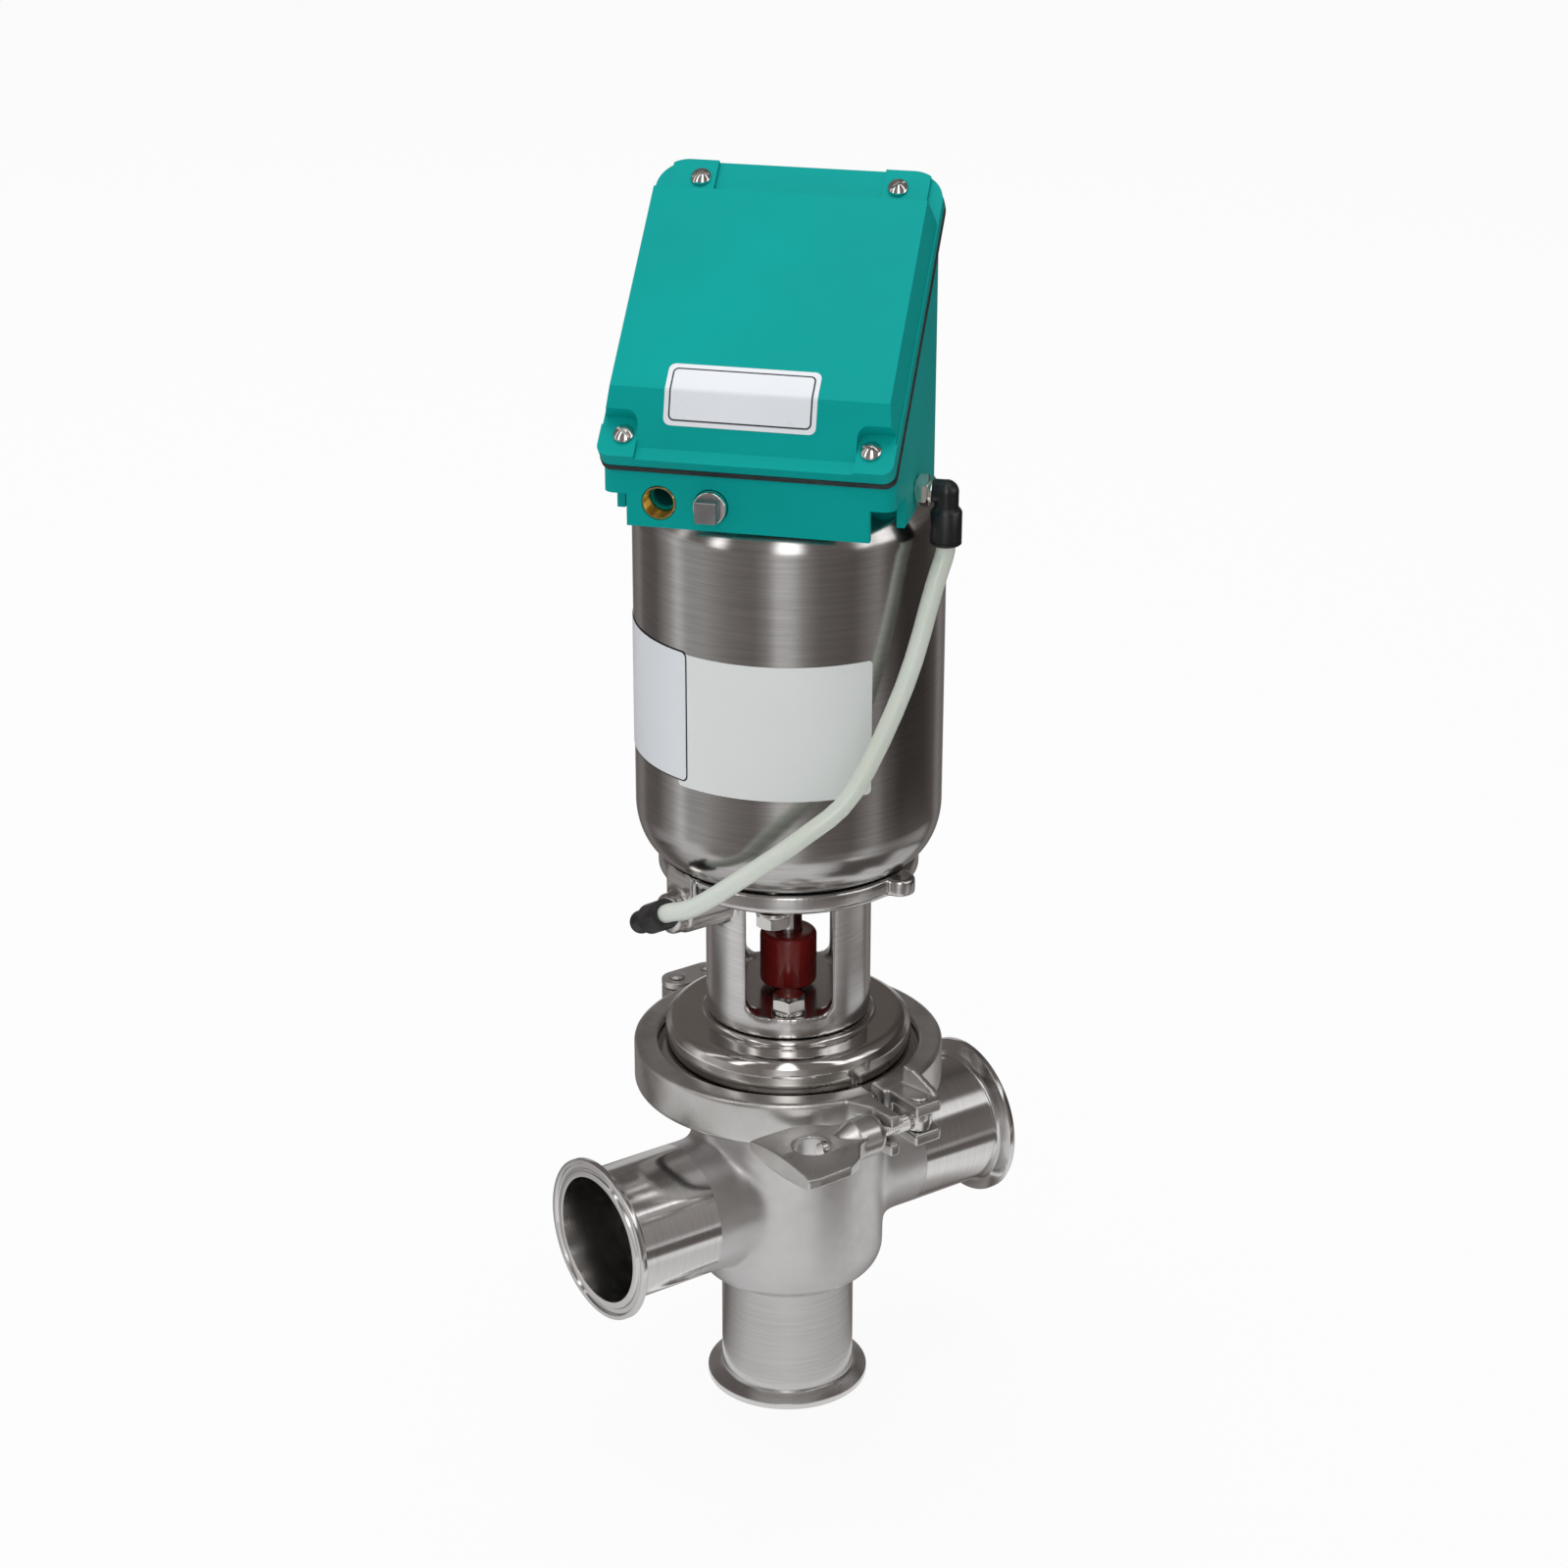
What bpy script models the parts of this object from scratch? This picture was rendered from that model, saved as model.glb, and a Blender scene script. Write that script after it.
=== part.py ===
"""Air-actuated sanitary seat valve: a three-port body under a clamped bonnet, an open yoke, a
spring-return air cylinder and a moulded control box on top.

Metres, +Z up. The origin is on the valve's axis at the face of the bottom ferrule. The run goes
along X, and the clamp's wing nut is on the -Y side. Run it with
blender --background --python part.py, or from the Text Editor.
"""

import math

import bmesh
import bpy
from mathutils import Matrix, Vector

# General
GAP = 0.0003
TURN_STEPS = 20
CHAMFER = 0.0010
WELD_DISTANCE = 0.00001
ROUND_STEPS = 16
SMALL_STEPS = 10

# Tubes and their clamp ferrules, for 2.5 inch sanitary tube
TUBE_RADIUS = 0.03175
TUBE_WALL = 0.00165
FERRULE_RISE = 0.00695
FERRULE_RADIUS = TUBE_RADIUS + FERRULE_RISE
FERRULE_RIM = 0.00285
FERRULE_TAPER = 0.0032
FERRULE_NECK_RISE = 0.00185
FERRULE_NECK_RADIUS = TUBE_RADIUS + FERRULE_NECK_RISE
GROOVE_RISE = 0.00315
GROOVE_RADIUS = TUBE_RADIUS + GROOVE_RISE
GROOVE_WIDTH = 0.0034
GROOVE_DEPTH = 0.0016
GROOVE_DRAFT = 0.0006
RUN_HALF = 0.1085
RUN_HEIGHT = 0.1076
RUN_TO_WELD = 0.01515
WELD_HEIGHT = RUN_HEIGHT - TUBE_RADIUS - RUN_TO_WELD

# Valve body
BODY_RISE = 0.01405
BODY_RADIUS = TUBE_RADIUS + BODY_RISE
STUB_LENGTH = 0.0142
STUB_HALF = BODY_RADIUS + STUB_LENGTH
BODY_WALL = 0.0040
BODY_CORNER = 0.0140
NECK_RELIEF = 0.0010
BLEND_RISE = 0.0060
BLEND_LENGTH = 0.0060
SEAT_STEP = 0.00525
SEAT_RADIUS = TUBE_RADIUS - SEAT_STEP
SEAT_THICKNESS = 0.0085
SEAT_LAND = 0.0015
SEAT_SLOPE = 0.0040

# Clamped joint between body and bonnet
RUN_TO_CLAMP = 0.03285
CLAMP_HEIGHT = RUN_HEIGHT + TUBE_RADIUS + RUN_TO_CLAMP
CLAMP_HALF_HEIGHT = 0.0106
CLAMP_RISE = 0.0267
CLAMP_RADIUS = BODY_RADIUS + CLAMP_RISE
CLAMP_LIP_DEPTH = 0.01075
CLAMP_LIP_RADIUS = CLAMP_RADIUS - CLAMP_LIP_DEPTH
FLANGE_DEPTH = 0.0061
FLANGE_RADIUS = CLAMP_RADIUS - FLANGE_DEPTH
FLANGE_RIM = 0.0030
FLANGE_ANGLE = math.radians(20)
FLANGE_NECK_DEPTH = 0.0135
FLANGE_NECK_RADIUS = CLAMP_RADIUS - FLANGE_NECK_DEPTH
GASKET_THICKNESS = 0.0016
GASKET_INSET = 0.0020
CHAMBER_GASKET_DEPTH = 0.0270
CHAMBER_GASKET_RADIUS = CLAMP_RADIUS - CHAMBER_GASKET_DEPTH

# Bonnet
BONNET_WALL_DEPTH = 0.0149
BONNET_WALL_RADIUS = CLAMP_RADIUS - BONNET_WALL_DEPTH
BONNET_HEIGHT = 0.0264
BONNET_TOP = CLAMP_HEIGHT + BONNET_HEIGHT
BONNET_SHOULDER = 0.0070
BONNET_STEP = 0.0022
BONNET_RECESS_RADIUS = BODY_RADIUS - BODY_WALL
BONNET_TOP_THICKNESS = 0.0116
BONNET_RECESS_TOP = BONNET_TOP - BONNET_TOP_THICKNESS
BONNET_HUB_RADIUS = 0.0185
BONNET_LAND = 0.0008
BONNET_DISH = 0.0052
BONNET_DISH_DEPTH = 0.0004
HUB_RISE = 0.0020
STEM_SEAL_HEIGHT = 0.0036

# Stem, plug and coupling
STEM_RADIUS = 0.00635
STROKE = 0.0250
PLUG_STEP = 0.00175
PLUG_RADIUS = TUBE_RADIUS - PLUG_STEP
PLUG_HUB_HEIGHT = 0.0080
PLUG_HUB_FOOT = 0.0060
PLUG_HUB_HEAD = 0.0040
PLUG_NOSE = 0.0050
PLUG_EDGE = 0.0010
SEAL_LAP = 0.0015
PLUG_SEAL_THICKNESS = 0.0032
PLUG_THICKNESS = 0.0100
BUSH_RADIUS = 0.0105
COUPLING_RADIUS = 0.0132
YOKE_FLOOR_THICKNESS = 0.0104
YOKE_FLOOR = BONNET_TOP + YOKE_FLOOR_THICKNESS
COUPLING_LIFT = 0.0022
COUPLING_LOW = YOKE_FLOOR + COUPLING_LIFT
COUPLING_LENGTH = 0.0263
COUPLING_HIGH = COUPLING_LOW + COUPLING_LENGTH
COUPLING_CORNER = 0.0025

# Hex bolts
HEX_FLATS = 0.0143
HEX_HEIGHT = 0.0056
SHANK_RADIUS = 0.0040
WASHER_RADIUS = 0.0080
WASHER_THICKNESS = 0.0018
HEX_CHAMFER = 0.0006
SPLIT_HALF_WIDTH = 0.0005
SPLIT_LEAN = math.radians(20)

# Yoke
YOKE_STEP = 0.0192
YOKE_RADIUS = BONNET_WALL_RADIUS - YOKE_STEP
YOKE_WALL = 0.0062
YOKE_FILLET = 0.0050
STEM_HOLE_CLEARANCE = 0.0020
YOKE_TURN = math.radians(-125)
WINDOW_HALF_WIDTH = 0.0198
WINDOW_HEAD = 0.0035
WINDOW_CORNER = 0.0070
COUPLING_HEADROOM = 0.0090
PLATE_LOW = COUPLING_HIGH + STROKE + COUPLING_HEADROOM
WINDOW_TOP = PLATE_LOW - WINDOW_HEAD
PLATE_THICKNESS = 0.0092
PLATE_HIGH = PLATE_LOW + PLATE_THICKNESS
PLATE_BOLT_CLEARANCE = 0.0006
PLATE_BOLT_CIRCLE = YOKE_RADIUS + YOKE_FILLET + WASHER_RADIUS + PLATE_BOLT_CLEARANCE
PLATE_RIM = 0.0080
PLATE_RADIUS = PLATE_BOLT_CIRCLE + PLATE_RIM
EAR_TURN = math.radians(-70)
EAR_LENGTH = 0.0080
EAR_REACH = PLATE_RADIUS + EAR_LENGTH
EAR_HALF_WIDTH = 0.0070
EAR_ROOT = 0.0100
EAR_SETBACK = 0.0007
PORT_DROP = 0.0088
PORT_HEIGHT = PLATE_LOW - PORT_DROP
PORT_RADIUS = 0.0105
PORT_LENGTH = 0.0080
PORT_REACH = PLATE_RADIUS + PORT_LENGTH
PORT_BOSS_RADIUS = 0.0095
PORT_FIN_LENGTH = 0.0008
PORT_FIN_REACH = PLATE_RADIUS + PORT_FIN_LENGTH
PORT_RISE = 0.0038
PORT_TOP = PLATE_HIGH + PORT_RISE
PORT_DEPTH = 0.0160
PORT_CORNER = 0.0030

# Bolt patterns
YOKE_BOLT_INSET = 0.0101
YOKE_BOLT_CIRCLE = YOKE_RADIUS - YOKE_BOLT_INSET
YOKE_BOLT_LENGTH = 0.0180
PLATE_BOLT_TURN = math.radians(-133)
PLATE_BOLT_LENGTH = 0.0150

# Actuator
CYLINDER_OVERHANG = 0.0100
CYLINDER_RADIUS = PLATE_RADIUS + CYLINDER_OVERHANG
CYLINDER_WALL = 0.0025
CYLINDER_CORNER = 0.0250
CYLINDER_LENGTH = 0.1843
CYLINDER_TOP = PLATE_HIGH + CYLINDER_LENGTH
CYLINDER_END_WALL = 0.0050
BASE_DISC_LAP = 0.0005
BASE_DISC_RADIUS = CYLINDER_RADIUS - CYLINDER_CORNER + BASE_DISC_LAP
BASE_DISC_THICKNESS = 0.0080
PISTON_THICKNESS = 0.0160
PISTON_REST_GAP = 0.0035
PISTON_CONE = 0.0080
ROD_BUSH_WALL = 0.0030
SEAL_WIDTH = 0.0040
SEAL_DEPTH = 0.0030
SPRING_INSET = 0.0320
SPRING_RADIUS = CYLINDER_RADIUS - SPRING_INSET
SPRING_WIRE_RADIUS = 0.0032
SPRING_TURNS = 6
UPPER_ROD_RADIUS = 0.0050
UPPER_ROD_REACH = 0.0410
UPPER_ROD_TOP = CYLINDER_TOP + UPPER_ROD_REACH
UPPER_BUSH_RADIUS = 0.0100
TRIP_RADIUS = 0.0100
TRIP_THICKNESS = 0.0060
TRIP_DROP = 0.0160
PISTON_NUT_FLATS = 0.0190
PISTON_NUT_HEIGHT = 0.0080

# Control box, in its own turned frame: X across its face, -Y to its front
BOX_TURN = math.radians(-48.4)
BOX_SIDE_INSET = 0.0070
BOX_HALF_WIDTH = CYLINDER_RADIUS - BOX_SIDE_INSET
BOX_OVERHANG = 0.0100
BOX_FRONT = CYLINDER_RADIUS + BOX_OVERHANG
BOX_REAR = 0.0280
BOX_SKIRT = 0.0078
BOX_BOTTOM = CYLINDER_TOP - BOX_SKIRT
BOX_FLOOR_RISE = 0.0150
BOX_FLOOR = CYLINDER_TOP + BOX_FLOOR_RISE
BOX_PAD_INSET = 0.0015
BOX_PAD_RADIUS = BOX_REAR - BOX_PAD_INSET
PORT_BLOCK_RADIUS = 0.0090
PORT_BLOCK_LENGTH = 0.0130
BOX_REAR_CORNER = 0.0200
BOX_FRONT_CORNER = 0.0050
BOX_WALL = 0.0035
SEAL_RISE = 0.0201
SEAL_FRONT_HEIGHT = CYLINDER_TOP + SEAL_RISE
COVER_SLOPE = math.radians(42)
NOTCH_INSET = 0.0105
NOTCH_DEPTH = 0.0230
NOTCH_HEIGHT = 0.0140
COVER_GASKET = 0.0016
COVER_LIP = 0.0030
COVER_REAR_LIP = 0.00267
COVER_LENGTH = (BOX_FRONT + BOX_REAR) / math.cos(COVER_SLOPE) + COVER_REAR_LIP
COVER_FLANGE = 0.0058
COVER_HEIGHT = 0.0195
COVER_FOOT = 0.0030
COVER_CREASE = 0.0240
CREST_SETBACK = 0.0230
COVER_CREST = COVER_LENGTH - CREST_SETBACK
COVER_DRAFT = 0.0035
COVER_WALL = 0.0030
COVER_CORNER = 0.0140
COVER_OVERHANG = 0.0005
DOME_ROUNDING = 0.0020
COVER_GASKET_INSET = 0.0004
GASKET_BAND = 0.0030
TAB_WIDTH_TOP = 0.0200
TAB_WIDTH_LOW = 0.0165
TAB_LENGTH = 0.0190
TAB_RISE = 0.0018
TAB_SHIFT = 0.0034
TAB_SEAT = 0.0010
SCREW_LOW_INSET = (0.0100, 0.0077)
SCREW_LOW = (BOX_HALF_WIDTH - SCREW_LOW_INSET[0], SCREW_LOW_INSET[1])
SCREW_HIGH_INSET = (0.0194, 0.0093)
SCREW_HIGH = (BOX_HALF_WIDTH - SCREW_HIGH_INSET[0], COVER_LENGTH - SCREW_HIGH_INSET[1])
SCREW_HEAD_RADIUS = 0.0044
SCREW_HEAD_HEIGHT = 0.0026
SCREW_SHANK_RADIUS = 0.0019
SCREW_LENGTH = 0.0135
SCREW_BOSS_RADIUS = 0.0070
SCREW_BOSS_SINK = 0.0015
SLOT_WIDTH = 0.0011
SLOT_TURNS = {
    ("low", "left"): -35,
    ("low", "right"): -20,
    ("high", "left"): 15,
    ("high", "right"): 40,
}

# Ports and air line of the box
FRONT_PORT_RISE = 0.0109
BUSH_PORT_INSET = 0.0246
FRONT_PORT_PITCH = 0.0226
BUSH_PORT = (BUSH_PORT_INSET - BOX_HALF_WIDTH, BOX_BOTTOM + FRONT_PORT_RISE)
PLUG_PORT = (BUSH_PORT[0] + FRONT_PORT_PITCH, BOX_BOTTOM + FRONT_PORT_RISE)
PIPE_RADIUS = 0.0073
PIPE_DEPTH = 0.0100
PIPE_BORE_RADIUS = 0.0057
PLUG_SQUARE = 0.0096
PLUG_COLLAR = 0.0030
PLUG_REACH = 0.0100
PLUG_BEVEL = 0.0008
SIDE_PORT_RISE = 0.0093
SIDE_PORT_SETBACK = 0.0480
SIDE_PORT = (SIDE_PORT_SETBACK - BOX_FRONT, BOX_BOTTOM + SIDE_PORT_RISE)
FITTING_FLATS = 0.0125
FITTING_LENGTH = 0.0072
FITTING_THREAD_RADIUS = 0.0046
FITTING_THREAD_LENGTH = 0.0075
FITTING_CHAMFER = 0.0005
ELBOW_RADIUS = 0.0053
ELBOW_SLEEVE_RADIUS = 0.0069
ELBOW_OUT = 0.0055
ELBOW_ARM = 0.0236
ELBOW_SLEEVE = 0.0155
ELBOW_EDGE = 0.0008
ELBOW_SHOULDER = 0.0015
LOWER_TURN = math.radians(30)
AIR_TUBE_RADIUS = 0.0042
TUBE_INSERTION = 0.0060
TUBE_LEAD = 0.0030
AIR_LINE_ROUTE = [
    (-153.85, 0.01600, 0.0458),
    (-138.15, 0.01739, 0.1599),
    (-121.21, 0.01512, 0.2746),
    (-105.52, 0.01220, 0.3844),
    (-87.53, 0.01128, 0.6553),
    (-76.03, 0.01203, 0.9067),
]

# Swing bolt, wing nut and hinge of the clamp
BOLT_STANDOFF = 0.0140
BOLT_OFFSET = CLAMP_RADIUS + BOLT_STANDOFF
BOLT_RADIUS = 0.0038
PIVOT_X = 0.0115
PIVOT_RADIUS = 0.0035
EYE_RADIUS = 0.0062
BOLT_END_X = -0.0440
LUG_GAP_HALF = 0.0050
LUG_SLOT_HALF = 0.0043
LEFT_LUG_X = -0.0112
RIGHT_LUG_X = 0.0205
LUG_LENGTH = 0.0220
LUG_TIP = CLAMP_RADIUS + LUG_LENGTH
LUG_LEAN = math.radians(9.5)
LUG_SINK = 0.0045
LUG_SETBACK = 0.0004
LUG_TIP_CUT = 0.0010
LEFT_WAIST = (0.0060, 0.0025)
LEFT_FOOT = (0.0160, 0.0060)
RIGHT_WAIST = 0.0040
RIGHT_FOOT = (0.0100, 0.0060)
EAR_SLOT_FLOOR = 0.0020
FIN_OUTLINE = [(-0.0050, 0), (0.0170, 0), (0.0130, 0.0030), (0.0010, 0.0090), (-0.0050, 0.0095)]
FIN_HALF_THICKNESS = 0.0017
FIN_PLACE = (-0.0035, 0.0200, -0.0012)
FIN_TURN = math.radians(-80)
CLAMP_EDGE = 0.0012
NUT_FACE_X = -0.0115
NUT_RADIUS = 0.0095
NUT_BARREL = 0.0150
NUT_BEVEL = 0.0040
NUT_NOSE = 0.0080
WING_END_X = -0.0665
WING_HALF_WIDTH = 0.0235
WING_THICKNESS = 0.0100
WING_EDGE = 0.0045
WING_HOLE_RADIUS = 0.0085
WING_HOLE_X = -0.0490
WING_SHAPE = [(-0.10, 0.344), (0.075, 0.465), (0.225, 0.80), (0.425, 0.97), (0.85, 1.0), (1.0, 0.97)]
HINGE_PIN_X = 0.0090
HINGE_STANDOFF = 0.0081
HINGE_PIN_Y = CLAMP_RADIUS + HINGE_STANDOFF
HINGE_PIN_RADIUS = 0.0030
HINGE_LOBE_RADIUS = 0.0075
HINGE_ROOT = 0.0060
LINK_THICKNESS = 0.0034
PIN_HEAD_RADIUS = 0.0038
PIN_HEAD_HEIGHT = 0.0014
PIVOT_HEAD_RADIUS = 0.0041
PIVOT_HEAD_HEIGHT = 0.0010

# Colours, with roughness and metallic
FINISHES = {
    "polished_steel": ((0.66, 0.64, 0.61), 0.16, 1.0),
    "brushed_steel": ((0.55, 0.53, 0.50), 0.30, 1.0),
    "cast_steel": ((0.60, 0.58, 0.55), 0.36, 1.0),
    "spring_steel": ((0.35, 0.35, 0.36), 0.40, 1.0),
    "brass": ((0.78, 0.57, 0.25), 0.28, 1.0),
    "nickel": ((0.74, 0.72, 0.66), 0.20, 1.0),
    "teal_plastic": ((0.000, 0.370, 0.340), 0.45, 0.0),
    "black_plastic": ((0.010, 0.010, 0.013), 0.42, 0.0),
    "black_rubber": ((0.012, 0.012, 0.012), 0.65, 0.0),
    "white_polymer": ((0.80, 0.79, 0.74), 0.45, 0.0),
    "red_urethane": ((0.150, 0.008, 0.006), 0.20, 0.0),
    "tube_plastic": ((0.70, 0.73, 0.64), 0.30, 0.0),
}

for old in list(bpy.data.objects):
    bpy.data.objects.remove(old, do_unlink=True)
PARTS = bpy.data.collections.new("air_actuated_seat_valve")
CUTTERS = bpy.data.collections.new("cutters")
for collection in (PARTS, CUTTERS):
    bpy.context.scene.collection.children.link(collection)


def finish(name):
    """The Principled material of this finish, made once."""
    if name in bpy.data.materials:
        return bpy.data.materials[name]
    colour, roughness, metallic = FINISHES[name]
    material = bpy.data.materials.new(name)
    material.use_nodes = True
    shader = material.node_tree.nodes["Principled BSDF"]
    shader.inputs["Base Color"].default_value = (*colour, 1.0)
    shader.inputs["Roughness"].default_value = roughness
    shader.inputs["Metallic"].default_value = metallic
    material.diffuse_color = (*colour, 1.0)
    return material


def place(obj, look, parent=None, location=(0, 0, 0), rotation=(0, 0, 0)):
    """Puts a piece in the parts, or a cutter in the cutters where it has no finish."""
    (PARTS if look else CUTTERS).objects.link(obj)
    if look:
        obj.data.materials.append(finish(look))
    else:
        obj.hide_render = True
        obj.display_type = "WIRE"
    obj.location = location
    obj.rotation_euler = rotation
    obj.parent = parent
    return obj


def empty(name, location=(0, 0, 0), rotation=(0, 0, 0), parent=None):
    """A turned frame that pieces are placed in."""
    frame = bpy.data.objects.new(name, None)
    PARTS.objects.link(frame)
    frame.location = location
    frame.rotation_euler = rotation
    frame.parent = parent
    return frame


def from_bmesh(name, bm, look, **where):
    """A piece, or a cutter, from a bmesh."""
    mesh = bpy.data.meshes.new(name)
    bm.to_mesh(mesh)
    bm.free()
    mesh.shade_smooth()
    mesh.set_sharp_from_angle(angle=math.radians(35))
    return place(bpy.data.objects.new(name, mesh), look, **where)


def turned(name, profile, look, steps=TURN_STEPS, **where):
    """A turned piece about its own Z from (radius, height) points, outer side top to bottom."""
    mesh = bpy.data.meshes.new(name)
    points = [(radius, 0, height) for radius, height in profile]
    hollow = min(radius for radius, height in profile) > 0
    edges = [(i, i + 1) for i in range(len(points) - 1)]
    if hollow:
        edges.append((len(points) - 1, 0))
    mesh.from_pydata(points, edges, [])
    obj = place(bpy.data.objects.new(name, mesh), look, **where)
    screw = obj.modifiers.new("turn", "SCREW")
    screw.steps = steps
    screw.render_steps = steps
    screw.use_merge_vertices = True
    screw.merge_threshold = WELD_DISTANCE
    screw.use_smooth_shade = True
    return obj


def rod(name, radius, low, high, look, steps=SMALL_STEPS, **where):
    """A plain round bar along its own Z."""
    return turned(name, [(0, high), (radius, high), (radius, low), (0, low)], look, steps, **where)


def sleeve(name, outer, inner, low, high, look, steps=TURN_STEPS, **where):
    """A plain ring or bush along its own Z."""
    profile = [(outer, high), (outer, low), (inner, low), (inner, high)]
    return turned(name, profile, look, steps, **where)


def arc(centre, radius, start, end, steps):
    """Points along an arc in a plane, by angles in degrees."""
    turns = [math.radians(start + (end - start) * i / steps) for i in range(steps + 1)]
    return [(centre[0] + radius * math.cos(t), centre[1] + radius * math.sin(t)) for t in turns]


def slab(name, outline, low, high, look, **where):
    """A flat outline in its own XY plane, standing from low to high."""
    curve = bpy.data.curves.new(name, "CURVE")
    curve.dimensions = "2D"
    curve.fill_mode = "BOTH"
    curve.extrude = (high - low) / 2
    spline = curve.splines.new("POLY")
    spline.points.add(len(outline) - 1)
    for point, (x, y) in zip(spline.points, outline):
        point.co = (x, y, 0, 1)
    spline.use_cyclic_u = True
    shape = bpy.data.objects.new(name, curve)
    bpy.context.scene.collection.objects.link(shape)
    graph = bpy.context.evaluated_depsgraph_get()
    mesh = bpy.data.meshes.new_from_object(shape.evaluated_get(graph))
    bpy.data.objects.remove(shape, do_unlink=True)
    bm = bmesh.new()
    bm.from_mesh(mesh)
    bmesh.ops.remove_doubles(bm, verts=bm.verts, dist=WELD_DISTANCE)
    bmesh.ops.translate(bm, verts=bm.verts, vec=(0, 0, (high + low) / 2))
    bmesh.ops.recalc_face_normals(bm, faces=bm.faces)
    return from_bmesh(name, bm, look, **where)


def block(name, low, high, look, **where):
    """A plain box between two corners."""
    bm = bmesh.new()
    size = Vector(high) - Vector(low)
    middle = (Vector(high) + Vector(low)) / 2
    bmesh.ops.create_cube(bm, size=1, matrix=Matrix.Translation(middle) @ Matrix.Diagonal((*size, 1)))
    return from_bmesh(name, bm, look, **where)


def hex_bar(name, flats, low, high, look, **where):
    """A hexagonal bar along its own Z, by its size across flats."""
    corner = flats / math.sqrt(3)
    return slab(name, arc((0, 0), corner, 0, 300, 5), low, high, look, **where)


def boolean(obj, other, operation):
    """Cuts the other shape out of a piece, joins it on, or keeps what both hold."""
    modifier = obj.modifiers.new(other.name, "BOOLEAN")
    modifier.operation = operation
    modifier.solver = "EXACT"
    modifier.object = other
    return obj


def cut(obj, *others):
    for other in others:
        boolean(obj, other, "DIFFERENCE")


def join(obj, *others):
    for other in others:
        boolean(obj, other, "UNION")


def soften(obj, width, segments=2, angle=30):
    """Rounds the sharp edges of a piece."""
    bevel = obj.modifiers.new("soften", "BEVEL")
    bevel.width = width
    bevel.segments = segments
    bevel.limit_method = "ANGLE"
    bevel.angle_limit = math.radians(angle)
    return obj


# Ferrule tubes. Each is a drawn tube with a clamp ferrule, welded onto the body.
ALONG_X = {-1: (0, math.radians(90), 0), 1: (0, math.radians(-90), 0)}
TUBE_BORE = TUBE_RADIUS - TUBE_WALL


def ferrule_tube(name, length, **where):
    """A tube that stands on its ferrule face, with the gasket groove in the face."""
    groove_in = GROOVE_RADIUS - GROOVE_WIDTH / 2
    groove_out = GROOVE_RADIUS + GROOVE_WIDTH / 2
    profile = [
        (TUBE_RADIUS, length),
        (TUBE_RADIUS, FERRULE_RIM + FERRULE_TAPER),
        (FERRULE_NECK_RADIUS, FERRULE_RIM + FERRULE_TAPER * 0.75),
        (FERRULE_RADIUS, FERRULE_RIM),
        (FERRULE_RADIUS, 0),
        (groove_out, 0),
        (groove_out - GROOVE_DRAFT, GROOVE_DEPTH),
        (groove_in + GROOVE_DRAFT, GROOVE_DEPTH),
        (groove_in, 0),
        (TUBE_BORE, 0),
        (TUBE_BORE, length),
    ]
    return turned(name, profile, "polished_steel", **where)


run_tube_length = RUN_HALF - STUB_HALF - GAP
ferrule_tube("bottom_port_ferrule", WELD_HEIGHT - GAP)
ferrule_tube("left_port_ferrule", run_tube_length, location=(-RUN_HALF, 0, RUN_HEIGHT), rotation=ALONG_X[-1])
ferrule_tube("right_port_ferrule", run_tube_length, location=(RUN_HALF, 0, RUN_HEIGHT), rotation=ALONG_X[1])

# Body casting: a cup with a seat in its floor, a run through it and a clamp flange round its mouth
body_top = CLAMP_HEIGHT - GASKET_THICKNESS / 2 - GAP
chamber_radius = BODY_RADIUS - BODY_WALL
seat_low = WELD_HEIGHT + BODY_WALL
seat_high = seat_low + SEAT_THICKNESS
chamber_low = seat_high + SEAT_SLOPE
flange_taper = (FLANGE_RADIUS - FLANGE_NECK_RADIUS) * math.tan(FLANGE_ANGLE)
neck_low = CLAMP_HEIGHT - CLAMP_HALF_HEIGHT - NECK_RELIEF
cone_low = neck_low - (FLANGE_NECK_RADIUS - BODY_RADIUS)
corner = arc((BODY_RADIUS - BODY_CORNER, WELD_HEIGHT + BODY_CORNER), BODY_CORNER, 0, -90, 3)
body = turned(
    "body_casting",
    [
        (0, body_top),
        (FLANGE_RADIUS, body_top),
        (FLANGE_RADIUS, body_top - FLANGE_RIM),
        (FLANGE_NECK_RADIUS, body_top - FLANGE_RIM - flange_taper),
        (FLANGE_NECK_RADIUS, neck_low),
        (BODY_RADIUS, cone_low),
        *corner,
        (0, WELD_HEIGHT),
    ],
    "cast_steel",
)
blend_root = math.sqrt(BODY_RADIUS ** 2 - (TUBE_RADIUS + BLEND_RISE) ** 2)
for side, label in ((-1, "left"), (1, "right")):
    stub = turned(
        f"run_stub_{label}",
        [
            (0, STUB_HALF),
            (TUBE_RADIUS, STUB_HALF),
            (TUBE_RADIUS, BODY_RADIUS + BLEND_LENGTH),
            (TUBE_RADIUS + BLEND_RISE / 4, BODY_RADIUS + BLEND_LENGTH / 4),
            (TUBE_RADIUS + BLEND_RISE, blend_root),
            (0, blend_root),
        ],
        None,
        location=(0, 0, RUN_HEIGHT),
        rotation=(0, math.radians(90) * side, 0),
    )
    join(body, stub)
chamber = turned(
    "chamber",
    [
        (0, body_top + BODY_WALL),
        (chamber_radius, body_top + BODY_WALL),
        (chamber_radius, chamber_low),
        (PLUG_RADIUS + SEAT_LAND, seat_high),
        (SEAT_RADIUS, seat_high),
        (SEAT_RADIUS, seat_low + TUBE_BORE - SEAT_RADIUS),
        (TUBE_BORE, seat_low),
        (TUBE_BORE, WELD_HEIGHT - BODY_WALL),
        (0, WELD_HEIGHT - BODY_WALL),
    ],
    None,
)
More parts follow.
